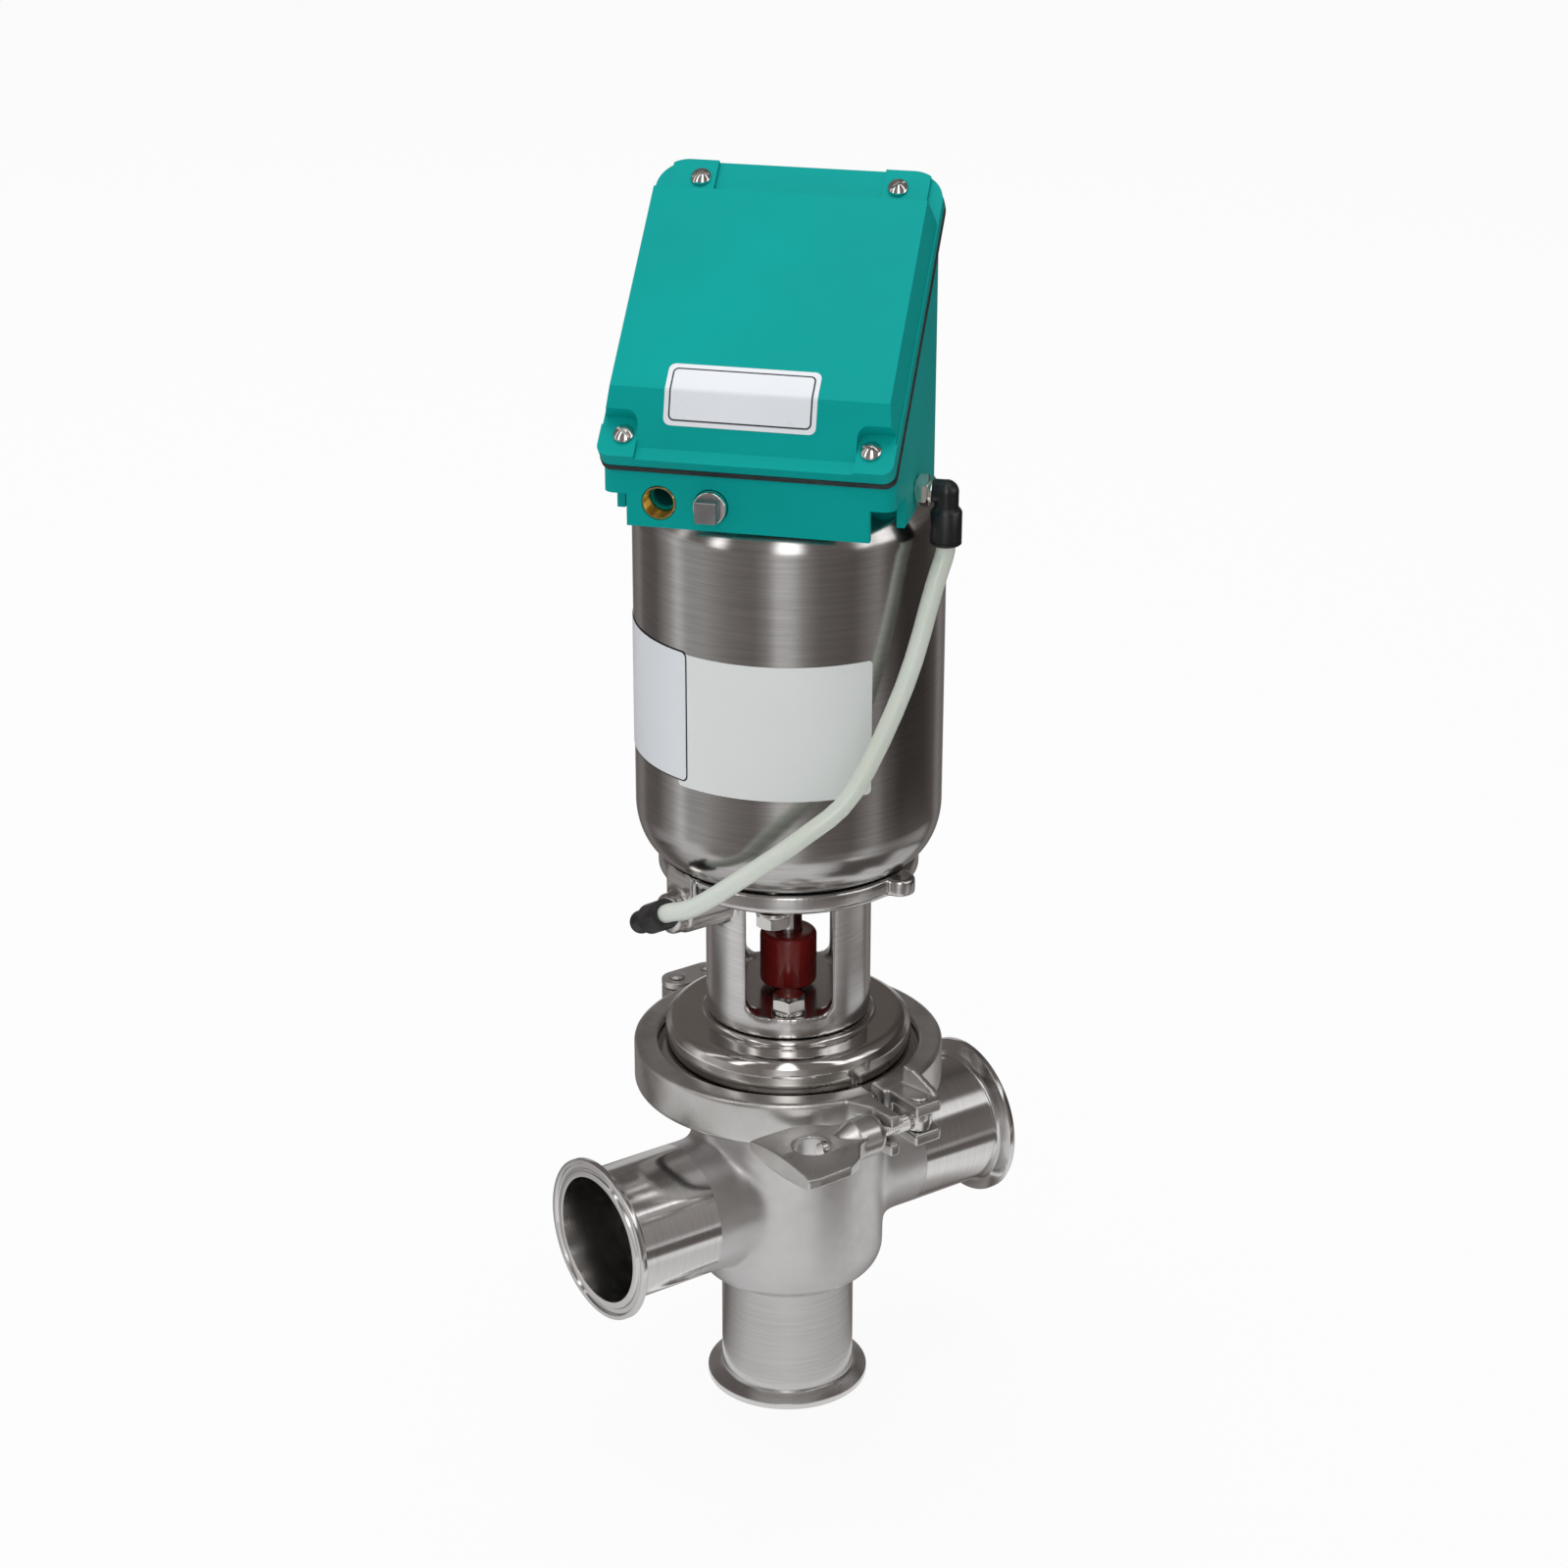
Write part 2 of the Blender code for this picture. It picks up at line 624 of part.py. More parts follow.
run_bore = rod("run_bore", TUBE_BORE, -RUN_HALF, RUN_HALF, None, TURN_STEPS,
               location=(0, 0, RUN_HEIGHT), rotation=(0, math.radians(90), 0))
cut(body, chamber, run_bore)

# Valve plug with its seal, and the stem that carries it up through the bonnet
stem_frame = empty("stem_axis", (0, 0, 0))
plug_low = seat_high + GAP
seal_low = plug_low
seal_high = plug_low + PLUG_SEAL_THICKNESS
plug_high = plug_low + PLUG_THICKNESS
seal_bore = SEAT_RADIUS - SEAL_LAP
hub_high = plug_high + PLUG_HUB_HEIGHT
turned(
    "valve_plug",
    [
        (0, hub_high),
        (STEM_RADIUS + PLUG_HUB_HEAD, hub_high),
        (STEM_RADIUS + PLUG_HUB_FOOT, plug_high + 2 * PLUG_EDGE),
        (PLUG_RADIUS - PLUG_EDGE, plug_high),
        (PLUG_RADIUS, plug_high - PLUG_EDGE),
        (PLUG_RADIUS, seal_high + GAP),
        (seal_bore, seal_high + GAP),
        (seal_bore, plug_low - 2 * PLUG_EDGE),
        (seal_bore - 3 * PLUG_EDGE, plug_low - PLUG_NOSE),
        (0, plug_low - PLUG_NOSE),
    ],
    "polished_steel",
    parent=stem_frame,
)
sleeve("plug_seal", PLUG_RADIUS - PLUG_EDGE / 2, seal_bore + GAP, seal_low, seal_high, "black_rubber",
       parent=stem_frame)
stem_joint = (COUPLING_LOW + COUPLING_HIGH) / 2
rod("valve_stem", STEM_RADIUS, hub_high + GAP, stem_joint - GAP, "polished_steel", parent=stem_frame)

# Bonnet with its gasket, guide bush and stem seal
bonnet_low = CLAMP_HEIGHT + GASKET_THICKNESS / 2 + GAP
wall_taper = (FLANGE_RADIUS - BONNET_WALL_RADIUS) * math.tan(FLANGE_ANGLE)
shoulder_top = BONNET_TOP - BONNET_STEP
hub_low = bonnet_low + HUB_RISE
shoulder = arc((BONNET_WALL_RADIUS - BONNET_SHOULDER, shoulder_top - BONNET_SHOULDER), BONNET_SHOULDER,
               90, 0, 3)
turned(
    "bonnet",
    [
        (YOKE_RADIUS + BONNET_LAND, BONNET_TOP),
        (YOKE_RADIUS + BONNET_LAND + BONNET_DISH * 0.4, BONNET_TOP - BONNET_DISH_DEPTH),
        (YOKE_RADIUS + BONNET_LAND + BONNET_DISH, shoulder_top),
        *shoulder,
        (BONNET_WALL_RADIUS, bonnet_low + FLANGE_RIM + wall_taper),
        (FLANGE_RADIUS, bonnet_low + FLANGE_RIM),
        (FLANGE_RADIUS, bonnet_low),
        (BONNET_RECESS_RADIUS, bonnet_low),
        (BONNET_RECESS_RADIUS, BONNET_RECESS_TOP),
        (BONNET_HUB_RADIUS, BONNET_RECESS_TOP),
        (BONNET_HUB_RADIUS, hub_low),
        (BUSH_RADIUS, hub_low),
        (BUSH_RADIUS, BONNET_TOP),
    ],
    "polished_steel",
)
sleeve("bonnet_gasket", FLANGE_RADIUS - GASKET_INSET, CHAMBER_GASKET_RADIUS,
       CLAMP_HEIGHT - GASKET_THICKNESS / 2, CLAMP_HEIGHT + GASKET_THICKNESS / 2, "black_rubber")
bush_bore = STEM_RADIUS + GAP
sleeve("stem_seal", BUSH_RADIUS - GAP, bush_bore, hub_low, hub_low + STEM_SEAL_HEIGHT, "black_rubber",
       SMALL_STEPS)
sleeve("stem_bush", BUSH_RADIUS - GAP, bush_bore, hub_low + STEM_SEAL_HEIGHT + GAP, BONNET_TOP,
       "white_polymer", SMALL_STEPS)

# Yoke: a cast tube with two windows, a floor that bolts to the bonnet and a plate under the cylinder
yoke_low = BONNET_TOP + GAP
yoke_bore = YOKE_RADIUS - YOKE_WALL
stem_hole = STEM_RADIUS + STEM_HOLE_CLEARANCE
yoke = turned(
    "yoke",
    [
        (PLATE_RADIUS - CHAMFER, PLATE_HIGH),
        (PLATE_RADIUS, PLATE_HIGH - CHAMFER),
        (PLATE_RADIUS, PLATE_LOW + CHAMFER),
        (PLATE_RADIUS - CHAMFER, PLATE_LOW),
        (YOKE_RADIUS + YOKE_FILLET, PLATE_LOW),
        (YOKE_RADIUS + YOKE_FILLET * 0.24, PLATE_LOW - YOKE_FILLET * 0.3),
        (YOKE_RADIUS, PLATE_LOW - YOKE_FILLET),
        (YOKE_RADIUS, yoke_low),
        (stem_hole, yoke_low),
        (stem_hole, YOKE_FLOOR),
        (yoke_bore, YOKE_FLOOR),
        (yoke_bore, PLATE_LOW),
        (stem_hole, PLATE_LOW),
        (stem_hole, PLATE_HIGH),
    ],
    "cast_steel",
)
ear = slab(
    "plate_ear",
    [(PLATE_RADIUS - EAR_ROOT, -EAR_HALF_WIDTH)]
    + arc((EAR_REACH - EAR_HALF_WIDTH, 0), EAR_HALF_WIDTH, -90, 90, 6)
    + [(PLATE_RADIUS - EAR_ROOT, EAR_HALF_WIDTH)],
    PLATE_LOW + EAR_SETBACK, PLATE_HIGH - EAR_SETBACK, None, rotation=(0, 0, EAR_TURN),
)
port_outline = arc((0, 0), PORT_RADIUS, 180, 360, 8)
port_rise = PORT_TOP - PORT_HEIGHT
port_outline += [(PORT_RADIUS, port_rise - PORT_CORNER), (PORT_RADIUS - PORT_CORNER, port_rise)]
port_outline += [(PORT_CORNER - PORT_RADIUS, port_rise), (-PORT_RADIUS, port_rise - PORT_CORNER)]
port_frame = (math.radians(90), 0, math.radians(-90))
port_root = (YOKE_RADIUS + yoke_bore) / 2
lug = slab("air_port_lug", port_outline, port_root, PORT_FIN_REACH, None,
           location=(0, 0, PORT_HEIGHT), rotation=port_frame)
port_boss = turned(
    "air_port_boss",
    [(0, PORT_REACH), (PORT_BOSS_RADIUS - CHAMFER, PORT_REACH), (PORT_BOSS_RADIUS, PORT_REACH - CHAMFER),
     (PORT_BOSS_RADIUS, port_root), (0, port_root)],
    None, ROUND_STEPS, location=(0, 0, PORT_HEIGHT), rotation=port_frame,
)
can_low = PLATE_HIGH + GAP
under_cylinder = turned(
    "space_under_cylinder",
    [(0, CYLINDER_TOP), (CYLINDER_RADIUS + GAP, CYLINDER_TOP)]
    + arc((CYLINDER_RADIUS - CYLINDER_CORNER, can_low + CYLINDER_CORNER), CYLINDER_CORNER + GAP, 0, -88, 4)
    + [(0, can_low)],
    None,
)
port_thread = rod("air_port_thread", FITTING_THREAD_RADIUS + GAP, PORT_REACH - PORT_DEPTH,
                  PORT_REACH + CHAMFER,
                  None, location=(0, 0, PORT_HEIGHT), rotation=port_frame)
join(yoke, ear, lug, port_boss)
window_height = WINDOW_TOP - YOKE_FLOOR
window = slab(
    "yoke_windows",
    arc((WINDOW_HALF_WIDTH - WINDOW_CORNER, WINDOW_CORNER), WINDOW_CORNER, -90, 0, 3)
    + arc((WINDOW_HALF_WIDTH - WINDOW_CORNER, window_height - WINDOW_CORNER), WINDOW_CORNER, 0, 90, 3)
    + arc((WINDOW_CORNER - WINDOW_HALF_WIDTH, window_height - WINDOW_CORNER), WINDOW_CORNER, 90, 180, 3)
    + arc((WINDOW_CORNER - WINDOW_HALF_WIDTH, WINDOW_CORNER), WINDOW_CORNER, 180, 270, 3),
    -YOKE_RADIUS - YOKE_FILLET / 2, YOKE_RADIUS + YOKE_FILLET / 2, None,
    location=(0, 0, YOKE_FLOOR), rotation=(math.radians(90), 0, YOKE_TURN + math.radians(90)),
)
cut(yoke, under_cylinder, port_thread, window)

# Hex bolts: two hold the yoke's floor to the bonnet, two hold the cylinder to the plate
bonnet = bpy.data.objects["bonnet"]


def hex_bolt(name, radius, turn, seat, length, direction, washer):
    """A bolt whose head stands on a washer at this height; direction 1 has its head up."""
    where = (radius * math.cos(turn), radius * math.sin(turn), seat)
    tilt = (0 if direction > 0 else math.radians(180), 0, turn)
    head_low = GAP + WASHER_THICKNESS + GAP
    head = hex_bar(name, HEX_FLATS, head_low, head_low + HEX_HEIGHT, "nickel", location=where, rotation=tilt)
    shank = rod(name + "_shank", SHANK_RADIUS, -length, head_low + HEX_HEIGHT / 2, None,
                location=where, rotation=tilt)
    soften(head, HEX_CHAMFER, 1)
    join(head, shank)
    ring = sleeve(washer, WASHER_RADIUS, SHANK_RADIUS + GAP, GAP, GAP + WASHER_THICKNESS, "nickel",
                  SMALL_STEPS, location=where, rotation=tilt)
    hole = rod(name + "_hole", SHANK_RADIUS + GAP, -length - 2 * GAP, CHAMFER, None,
               location=where, rotation=tilt)
    return hole, ring


for label, turn in (("front", YOKE_TURN), ("rear", YOKE_TURN + math.pi)):
    hole, ring = hex_bolt(f"yoke_bolt_{label}", YOKE_BOLT_CIRCLE, turn, YOKE_FLOOR, YOKE_BOLT_LENGTH, 1,
                          f"lock_washer_{label}")
    split = block(f"washer_split_{label}", (SHANK_RADIUS / 2, -SPLIT_HALF_WIDTH, 0),
                  (WASHER_RADIUS * 2, SPLIT_HALF_WIDTH, WASHER_RADIUS), None,
                  location=ring.location, rotation=(0, SPLIT_LEAN, turn))
    cut(ring, split)
    cut(yoke, hole)
    cut(bonnet, hole)
plate_holes = []
for label, turn in (("front", PLATE_BOLT_TURN), ("rear", PLATE_BOLT_TURN + math.pi)):
    hole, ring = hex_bolt(f"plate_bolt_{label}", PLATE_BOLT_CIRCLE, turn, PLATE_LOW, PLATE_BOLT_LENGTH, -1,
                          f"plate_washer_{label}")
    cut(yoke, hole)
    plate_holes.append(hole)

# Urethane sleeve over the joint of the two stems
sleeve_bore = STEM_RADIUS + GAP
coupling_corner = COUPLING_RADIUS - COUPLING_CORNER
turned(
    "stem_coupling",
    arc((coupling_corner, COUPLING_HIGH - COUPLING_CORNER), COUPLING_CORNER, 90, 0, 2)
    + arc((coupling_corner, COUPLING_LOW + COUPLING_CORNER), COUPLING_CORNER, 0, -90, 2)
    + [(sleeve_bore, COUPLING_LOW), (sleeve_bore, COUPLING_HIGH)],
    "red_urethane", ROUND_STEPS,
    parent=stem_frame,
)

# Clamp: two cast halves with a wedge groove, joined by a double-pinned hinge behind
rim_half = GASKET_THICKNESS / 2 + GAP + FLANGE_RIM + GAP
groove_bottom = FLANGE_RADIUS + 2 * GAP
groove_mouth = rim_half + (FLANGE_RADIUS - CLAMP_LIP_RADIUS) * math.tan(FLANGE_ANGLE)


def clamp_half(name, side):
    """Half of the clamp ring, on the left for side -1 and on the right for 1, with its lugs."""
    ring = turned(
        name,
        [
            (CLAMP_RADIUS - CLAMP_EDGE, CLAMP_HALF_HEIGHT),
            (CLAMP_RADIUS, CLAMP_HALF_HEIGHT - CLAMP_EDGE),
            (CLAMP_RADIUS, CLAMP_EDGE - CLAMP_HALF_HEIGHT),
            (CLAMP_RADIUS - CLAMP_EDGE, -CLAMP_HALF_HEIGHT),
            (CLAMP_LIP_RADIUS, -CLAMP_HALF_HEIGHT),
            (CLAMP_LIP_RADIUS, -groove_mouth),
            (FLANGE_RADIUS, -rim_half),
            (groove_bottom, GAP - rim_half),
            (groove_bottom, rim_half - GAP),
            (FLANGE_RADIUS, rim_half),
            (CLAMP_LIP_RADIUS, groove_mouth),
            (CLAMP_LIP_RADIUS, CLAMP_HALF_HEIGHT),
        ],
        "cast_steel",
        location=(0, 0, CLAMP_HEIGHT),
    )
    reach = CLAMP_RADIUS + CHAMFER
    keep = block(name + "_side", (LUG_GAP_HALF / 2, -reach, -reach), (reach, reach, reach), None,
                 location=(0, 0, CLAMP_HEIGHT), rotation=(0, 0, 0 if side > 0 else math.pi))
    boolean(ring, keep, "INTERSECT")
    return ring


left_half = clamp_half("clamp_half_left", -1)
right_half = clamp_half("clamp_half_right", 1)


def boss(obj, name, outline, low, high, **where):
    """Joins an upright slab on a piece."""
    shape = slab(name, outline, low, high, None, **where)
    join(obj, shape)
    return shape


# Lugs of the clamp. In front each half has an upper and a lower ear, with the swing bolt between
# them, and behind each has one ear that sits between the hinge links.
lug_low = CLAMP_HEIGHT - CLAMP_HALF_HEIGHT
lug_high = CLAMP_HEIGHT + CLAMP_HALF_HEIGHT
lug_root = CLAMP_RADIUS - LUG_SINK
nut_lean = math.tan(LUG_LEAN)
left_ear = [
    (-LUG_GAP_HALF, -lug_root),
    (LEFT_LUG_X - LEFT_FOOT[0], -lug_root + LEFT_FOOT[1]),
    (LEFT_LUG_X - LEFT_WAIST[0], -lug_root - LEFT_WAIST[1]),
    (LEFT_LUG_X, BOLT_RADIUS * 1.4 - BOLT_OFFSET),
    (LEFT_LUG_X, -BOLT_OFFSET),
    (LEFT_LUG_X + nut_lean * (LUG_TIP - BOLT_OFFSET), -LUG_TIP),
    (-LUG_GAP_HALF, -LUG_TIP),
]
right_ear = [
    (LUG_GAP_HALF, LUG_TIP_CUT - LUG_TIP),
    (RIGHT_LUG_X - 2 * LUG_TIP_CUT, LUG_TIP_CUT - LUG_TIP),
    (RIGHT_LUG_X, 3 * LUG_TIP_CUT - LUG_TIP),
    (RIGHT_LUG_X, -lug_root - RIGHT_WAIST),
    (RIGHT_LUG_X + RIGHT_FOOT[0], -lug_root + RIGHT_FOOT[1]),
    (LUG_GAP_HALF, -lug_root),
]
for half, outline, label in ((left_half, left_ear, "left"), (right_half, right_ear, "right")):
    boss(half, f"ears_{label}", outline, lug_low + LUG_SETBACK, lug_high - LUG_SETBACK)
    behind = 1 if label == "right" else -1
    neck = [
        (behind * HINGE_PIN_X * 1.9, CLAMP_RADIUS - HINGE_ROOT),
        (behind * (HINGE_PIN_X + HINGE_LOBE_RADIUS), HINGE_PIN_Y),
    ]
    lobe = arc((behind * HINGE_PIN_X, HINGE_PIN_Y), HINGE_LOBE_RADIUS, 90 - behind * 90, 90 + behind * 90, 6)
    foot = [(behind * (HINGE_PIN_X - HINGE_LOBE_RADIUS), CLAMP_RADIUS - HINGE_ROOT)]
    boss(half, f"hinge_ear_{label}", neck[:1] + lobe + foot,
         lug_low + LINK_THICKNESS + GAP, lug_high - LINK_THICKNESS - GAP)
slot = block("ear_slot", (LEFT_LUG_X * 2, -LUG_TIP * 1.1, -LUG_SLOT_HALF),
             (RIGHT_LUG_X * 2, -CLAMP_RADIUS - EAR_SLOT_FLOOR, LUG_SLOT_HALF), None, location=(0, 0,
                                                                                               CLAMP_HEIGHT))
cut(left_half, slot)
cut(right_half, slot)
fin_place = (RIGHT_LUG_X + FIN_PLACE[0], FIN_PLACE[1] - LUG_TIP, lug_high + FIN_PLACE[2])
fin = slab("ear_fin", FIN_OUTLINE, -FIN_HALF_THICKNESS, FIN_HALF_THICKNESS, None, location=fin_place,
           rotation=(math.radians(90), 0, FIN_TURN))
join(right_half, fin)
pivot_hole = rod("pivot_hole", PIVOT_RADIUS + GAP, -CLAMP_HALF_HEIGHT * 2, CLAMP_HALF_HEIGHT * 2, None,
                 location=(PIVOT_X, -BOLT_OFFSET, CLAMP_HEIGHT))
cut(right_half, pivot_hole)
for half, side in ((left_half, -1), (right_half, 1)):
    hinge_hole = rod(f"hinge_hole_{side + 2}", HINGE_PIN_RADIUS + GAP, -CLAMP_HALF_HEIGHT, CLAMP_HALF_HEIGHT,
                     None, location=(side * HINGE_PIN_X, HINGE_PIN_Y, CLAMP_HEIGHT))
    cut(half, hinge_hole)

# Hinge behind the clamp: two links on two headed pins
link_outline = arc((HINGE_PIN_X, 0), HINGE_LOBE_RADIUS, -90, 90, 6)
link_outline += arc((-HINGE_PIN_X, 0), HINGE_LOBE_RADIUS, 90, 270, 6)
for label, low in (("upper", lug_high - LINK_THICKNESS), ("lower", lug_low)):
    link = slab(f"hinge_link_{label}", link_outline, low, low + LINK_THICKNESS, "cast_steel",
                location=(0, HINGE_PIN_Y, 0))
    for side in (-1, 1):
        pin_hole = rod(f"link_hole_{label}_{side + 2}", HINGE_PIN_RADIUS + GAP, low - LINK_THICKNESS,
                       low + 2 * LINK_THICKNESS, None, location=(side * HINGE_PIN_X, HINGE_PIN_Y, 0))
        cut(link, pin_hole)


def headed_pin(name, radius, low, high, head_radius, head_height, look, **where):
    """A pin between two faces with a low head on each end."""
    profile = [
        (0, high + head_height), (head_radius, high + head_height), (head_radius, high),
        (radius, high), (radius, low), (head_radius, low), (head_radius, low - head_height),
        (0, low - head_height),
    ]
    return turned(name, profile, look, SMALL_STEPS, **where)


for side, label in ((-1, "left"), (1, "right")):
    headed_pin(f"hinge_pin_{label}", HINGE_PIN_RADIUS, lug_low - GAP, lug_high + GAP, PIN_HEAD_RADIUS,
               PIN_HEAD_HEIGHT, "cast_steel", location=(side * HINGE_PIN_X, HINGE_PIN_Y, 0))

# Swing bolt on its pin, which is the joint axis of the bolt, and the wing nut on the bolt
swing_frame = empty("swing_axis", (PIVOT_X, -BOLT_OFFSET, CLAMP_HEIGHT))
nut_frame = empty("nut_axis", (0, 0, 0), (0, math.radians(-90), 0), swing_frame)
ear_slot_gap = LUG_SLOT_HALF - GAP
pivot_half = CLAMP_HALF_HEIGHT - LUG_SETBACK + GAP
headed_pin("swing_bolt_pin", PIVOT_RADIUS, -pivot_half, pivot_half, PIVOT_HEAD_RADIUS, PIVOT_HEAD_HEIGHT,
           "cast_steel", location=swing_frame.location)
bolt = sleeve("swing_bolt", EYE_RADIUS, PIVOT_RADIUS + GAP, -ear_slot_gap, ear_slot_gap, "nickel",
              ROUND_STEPS,
              parent=swing_frame)
shank = rod("swing_bolt_shank", BOLT_RADIUS, EYE_RADIUS * 0.8, PIVOT_X - BOLT_END_X, None, parent=nut_frame)
join(bolt, shank)
nut_face = PIVOT_X - NUT_FACE_X
barrel_end = nut_face + NUT_BARREL
wing_end = PIVOT_X - WING_END_X
wing_hole = PIVOT_X - WING_HOLE_X
wing_nut = turned(
    "wing_nut",
    [
        (0, nut_face),
        (NUT_RADIUS - NUT_BEVEL, nut_face),
        (NUT_RADIUS - NUT_BEVEL * 0.3, nut_face + NUT_BEVEL * 0.35),
        (NUT_RADIUS, nut_face + NUT_BEVEL),
        (NUT_RADIUS, barrel_end),
        (NUT_RADIUS * 0.6, barrel_end + NUT_NOSE),
        (0, barrel_end + NUT_NOSE),
    ][::-1],
    "cast_steel", ROUND_STEPS,
    parent=nut_frame,
)
wing_length = wing_end - barrel_end
wing_side = [(barrel_end + along * wing_length, width * WING_HALF_WIDTH) for along, width in WING_SHAPE]
wing_outline = wing_side + [(x, -y) for x, y in reversed(wing_side)]
wing_section = [
    (-WING_HALF_WIDTH, -WING_EDGE / 2), (-WING_HALF_WIDTH * 0.5, -WING_THICKNESS * 0.42),
    (0, -WING_THICKNESS / 2), (WING_HALF_WIDTH * 0.5, -WING_THICKNESS * 0.42),
    (WING_HALF_WIDTH, -WING_EDGE / 2),
]
wing_section += [(x, -y) for x, y in reversed(wing_section)]
wings = slab("wings", wing_outline, -WING_THICKNESS, WING_THICKNESS, None,
             rotation=(0, math.radians(-90), 0), parent=nut_frame)
crown = slab("wing_crown", wing_section, barrel_end / 2, wing_end * 2, None,
             rotation=(0, 0, math.radians(90)), parent=nut_frame)
boolean(wings, crown, "INTERSECT")
eye = rod("wing_eye", WING_HOLE_RADIUS, -WING_THICKNESS, WING_THICKNESS, None, ROUND_STEPS,
          location=(0, 0, wing_hole), rotation=(0, math.radians(90), 0), parent=nut_frame)
thread = rod("wing_nut_thread", BOLT_RADIUS + GAP, 0, wing_hole, None, parent=nut_frame)
join(wing_nut, wings)
cut(wing_nut, eye, thread)

# Air cylinder: a drawn can over a base disc, with the piston, its seal, the spring and the rod
can_bore = CYLINDER_RADIUS - CYLINDER_WALL
can_flat = CYLINDER_RADIUS - CYLINDER_CORNER
inner_corner = CYLINDER_CORNER - CYLINDER_WALL
disc_low = can_low
disc_high = disc_low + BASE_DISC_THICKNESS
can_mouth = BASE_DISC_RADIUS + GAP
top_bush = UPPER_BUSH_RADIUS + GAP
inner_top = CYLINDER_TOP - CYLINDER_END_WALL
can = turned(
    "actuator_cylinder",
    [(top_bush, CYLINDER_TOP)]
    + arc((can_flat, CYLINDER_TOP - CYLINDER_CORNER), CYLINDER_CORNER, 90, 0, 4)
    + arc((can_flat, can_low + CYLINDER_CORNER), CYLINDER_CORNER, 0, -88, 4)
    + [(can_mouth, can_low), (can_mouth, disc_high)]
    + [(can_bore, disc_high + BASE_DISC_THICKNESS)]
    + arc((can_bore - inner_corner, inner_top - inner_corner), inner_corner, 0, 90, 3)
    + [(top_bush, inner_top)],
    "brushed_steel",
)
cut(can, *plate_holes)
rod_hole = STEM_RADIUS + ROD_BUSH_WALL
sleeve("actuator_base", BASE_DISC_RADIUS, rod_hole + GAP, disc_low, disc_high, "brushed_steel")
sleeve("rod_bush", rod_hole, STEM_RADIUS + GAP, disc_low, disc_high, "white_polymer", SMALL_STEPS)
piston_low = disc_high + PISTON_REST_GAP
piston_high = piston_low + PISTON_THICKNESS
piston_radius = can_bore - 2 * GAP
seal_floor = piston_radius - SEAL_DEPTH
seal_mid = (piston_low + piston_high) / 2
hub_bore = UPPER_ROD_RADIUS + GAP
turned(
    "piston",
    [
        (piston_radius - CHAMFER, piston_high),
        (piston_radius, piston_high - CHAMFER),
        (piston_radius, seal_mid + SEAL_WIDTH / 2 + GAP),
        (seal_floor, seal_mid + SEAL_WIDTH / 2 + GAP),
        (seal_floor, seal_mid - SEAL_WIDTH / 2 - GAP),
        (piston_radius, seal_mid - SEAL_WIDTH / 2 - GAP),
        (piston_radius, piston_low + PISTON_CONE),
        (can_mouth, piston_low),
        (hub_bore, piston_low),
        (hub_bore, piston_high),
    ],
    "brushed_steel",
    parent=stem_frame,
)
sleeve("piston_seal", can_bore - GAP, seal_floor + GAP, seal_mid - SEAL_WIDTH / 2, seal_mid + SEAL_WIDTH / 2,
       "black_rubber", parent=stem_frame)
nut_low = piston_high + GAP
nut_high = nut_low + PISTON_NUT_HEIGHT
piston_nut = hex_bar("piston_nut", PISTON_NUT_FLATS, nut_low, nut_high, "nickel", parent=stem_frame)
cut(piston_nut, rod("piston_nut_bore", hub_bore, piston_low, nut_high + CHAMFER, None, parent=stem_frame))
turned(
    "actuator_rod",
    [
        (0, UPPER_ROD_TOP),
        (UPPER_ROD_RADIUS - CHAMFER, UPPER_ROD_TOP),
        (UPPER_ROD_RADIUS, UPPER_ROD_TOP - CHAMFER),
        (UPPER_ROD_RADIUS, piston_low - GAP),
        (STEM_RADIUS, piston_low - GAP),
        (STEM_RADIUS, stem_joint),
        (0, stem_joint),
    ],
    "polished_steel", SMALL_STEPS,
    parent=stem_frame,
)
sleeve("upper_bush", UPPER_BUSH_RADIUS, hub_bore, inner_top, CYLINDER_TOP, "white_polymer", SMALL_STEPS)
trip_low = UPPER_ROD_TOP - TRIP_DROP
sleeve("trip_collar", TRIP_RADIUS, hub_bore, trip_low, trip_low + TRIP_THICKNESS, "black_plastic",
       SMALL_STEPS,
       parent=stem_frame)


def coil(name, radius, wire, low, high, turns, look, **where):
    """A compression spring with its ends closed down flat."""
    curve = bpy.data.curves.new(name, "CURVE")
    curve.dimensions = "3D"
    curve.bevel_depth = wire
    curve.bevel_resolution = 0
    curve.use_fill_caps = True
    per_turn = 8
    count = turns * per_turn + 1
    spline = curve.splines.new("POLY")
    spline.points.add(count - 1)
    for i, point in enumerate(spline.points):
        turn = 2 * math.pi * i / per_turn
        share = min(1, max(0, (i - per_turn / 2) / (count - 1 - per_turn)))
        height = low + wire + (high - low - 2 * wire) * share
        point.co = (radius * math.cos(turn), radius * math.sin(turn), height, 1)
    return place(bpy.data.objects.new(name, curve), look, **where)


coil("return_spring", SPRING_RADIUS, SPRING_WIRE_RADIUS, piston_high + GAP, inner_top - GAP, SPRING_TURNS,
     "spring_steel")

# Control box. Its own frame is turned about the valve's axis, and its cover lies on a slope.
box_frame = empty("box_axis", rotation=(0, 0, BOX_TURN))
slope_cos = math.cos(COVER_SLOPE)
cover_frame = empty("cover_slope", (0, -BOX_FRONT, SEAL_FRONT_HEIGHT), (COVER_SLOPE, 0, 0), box_frame)


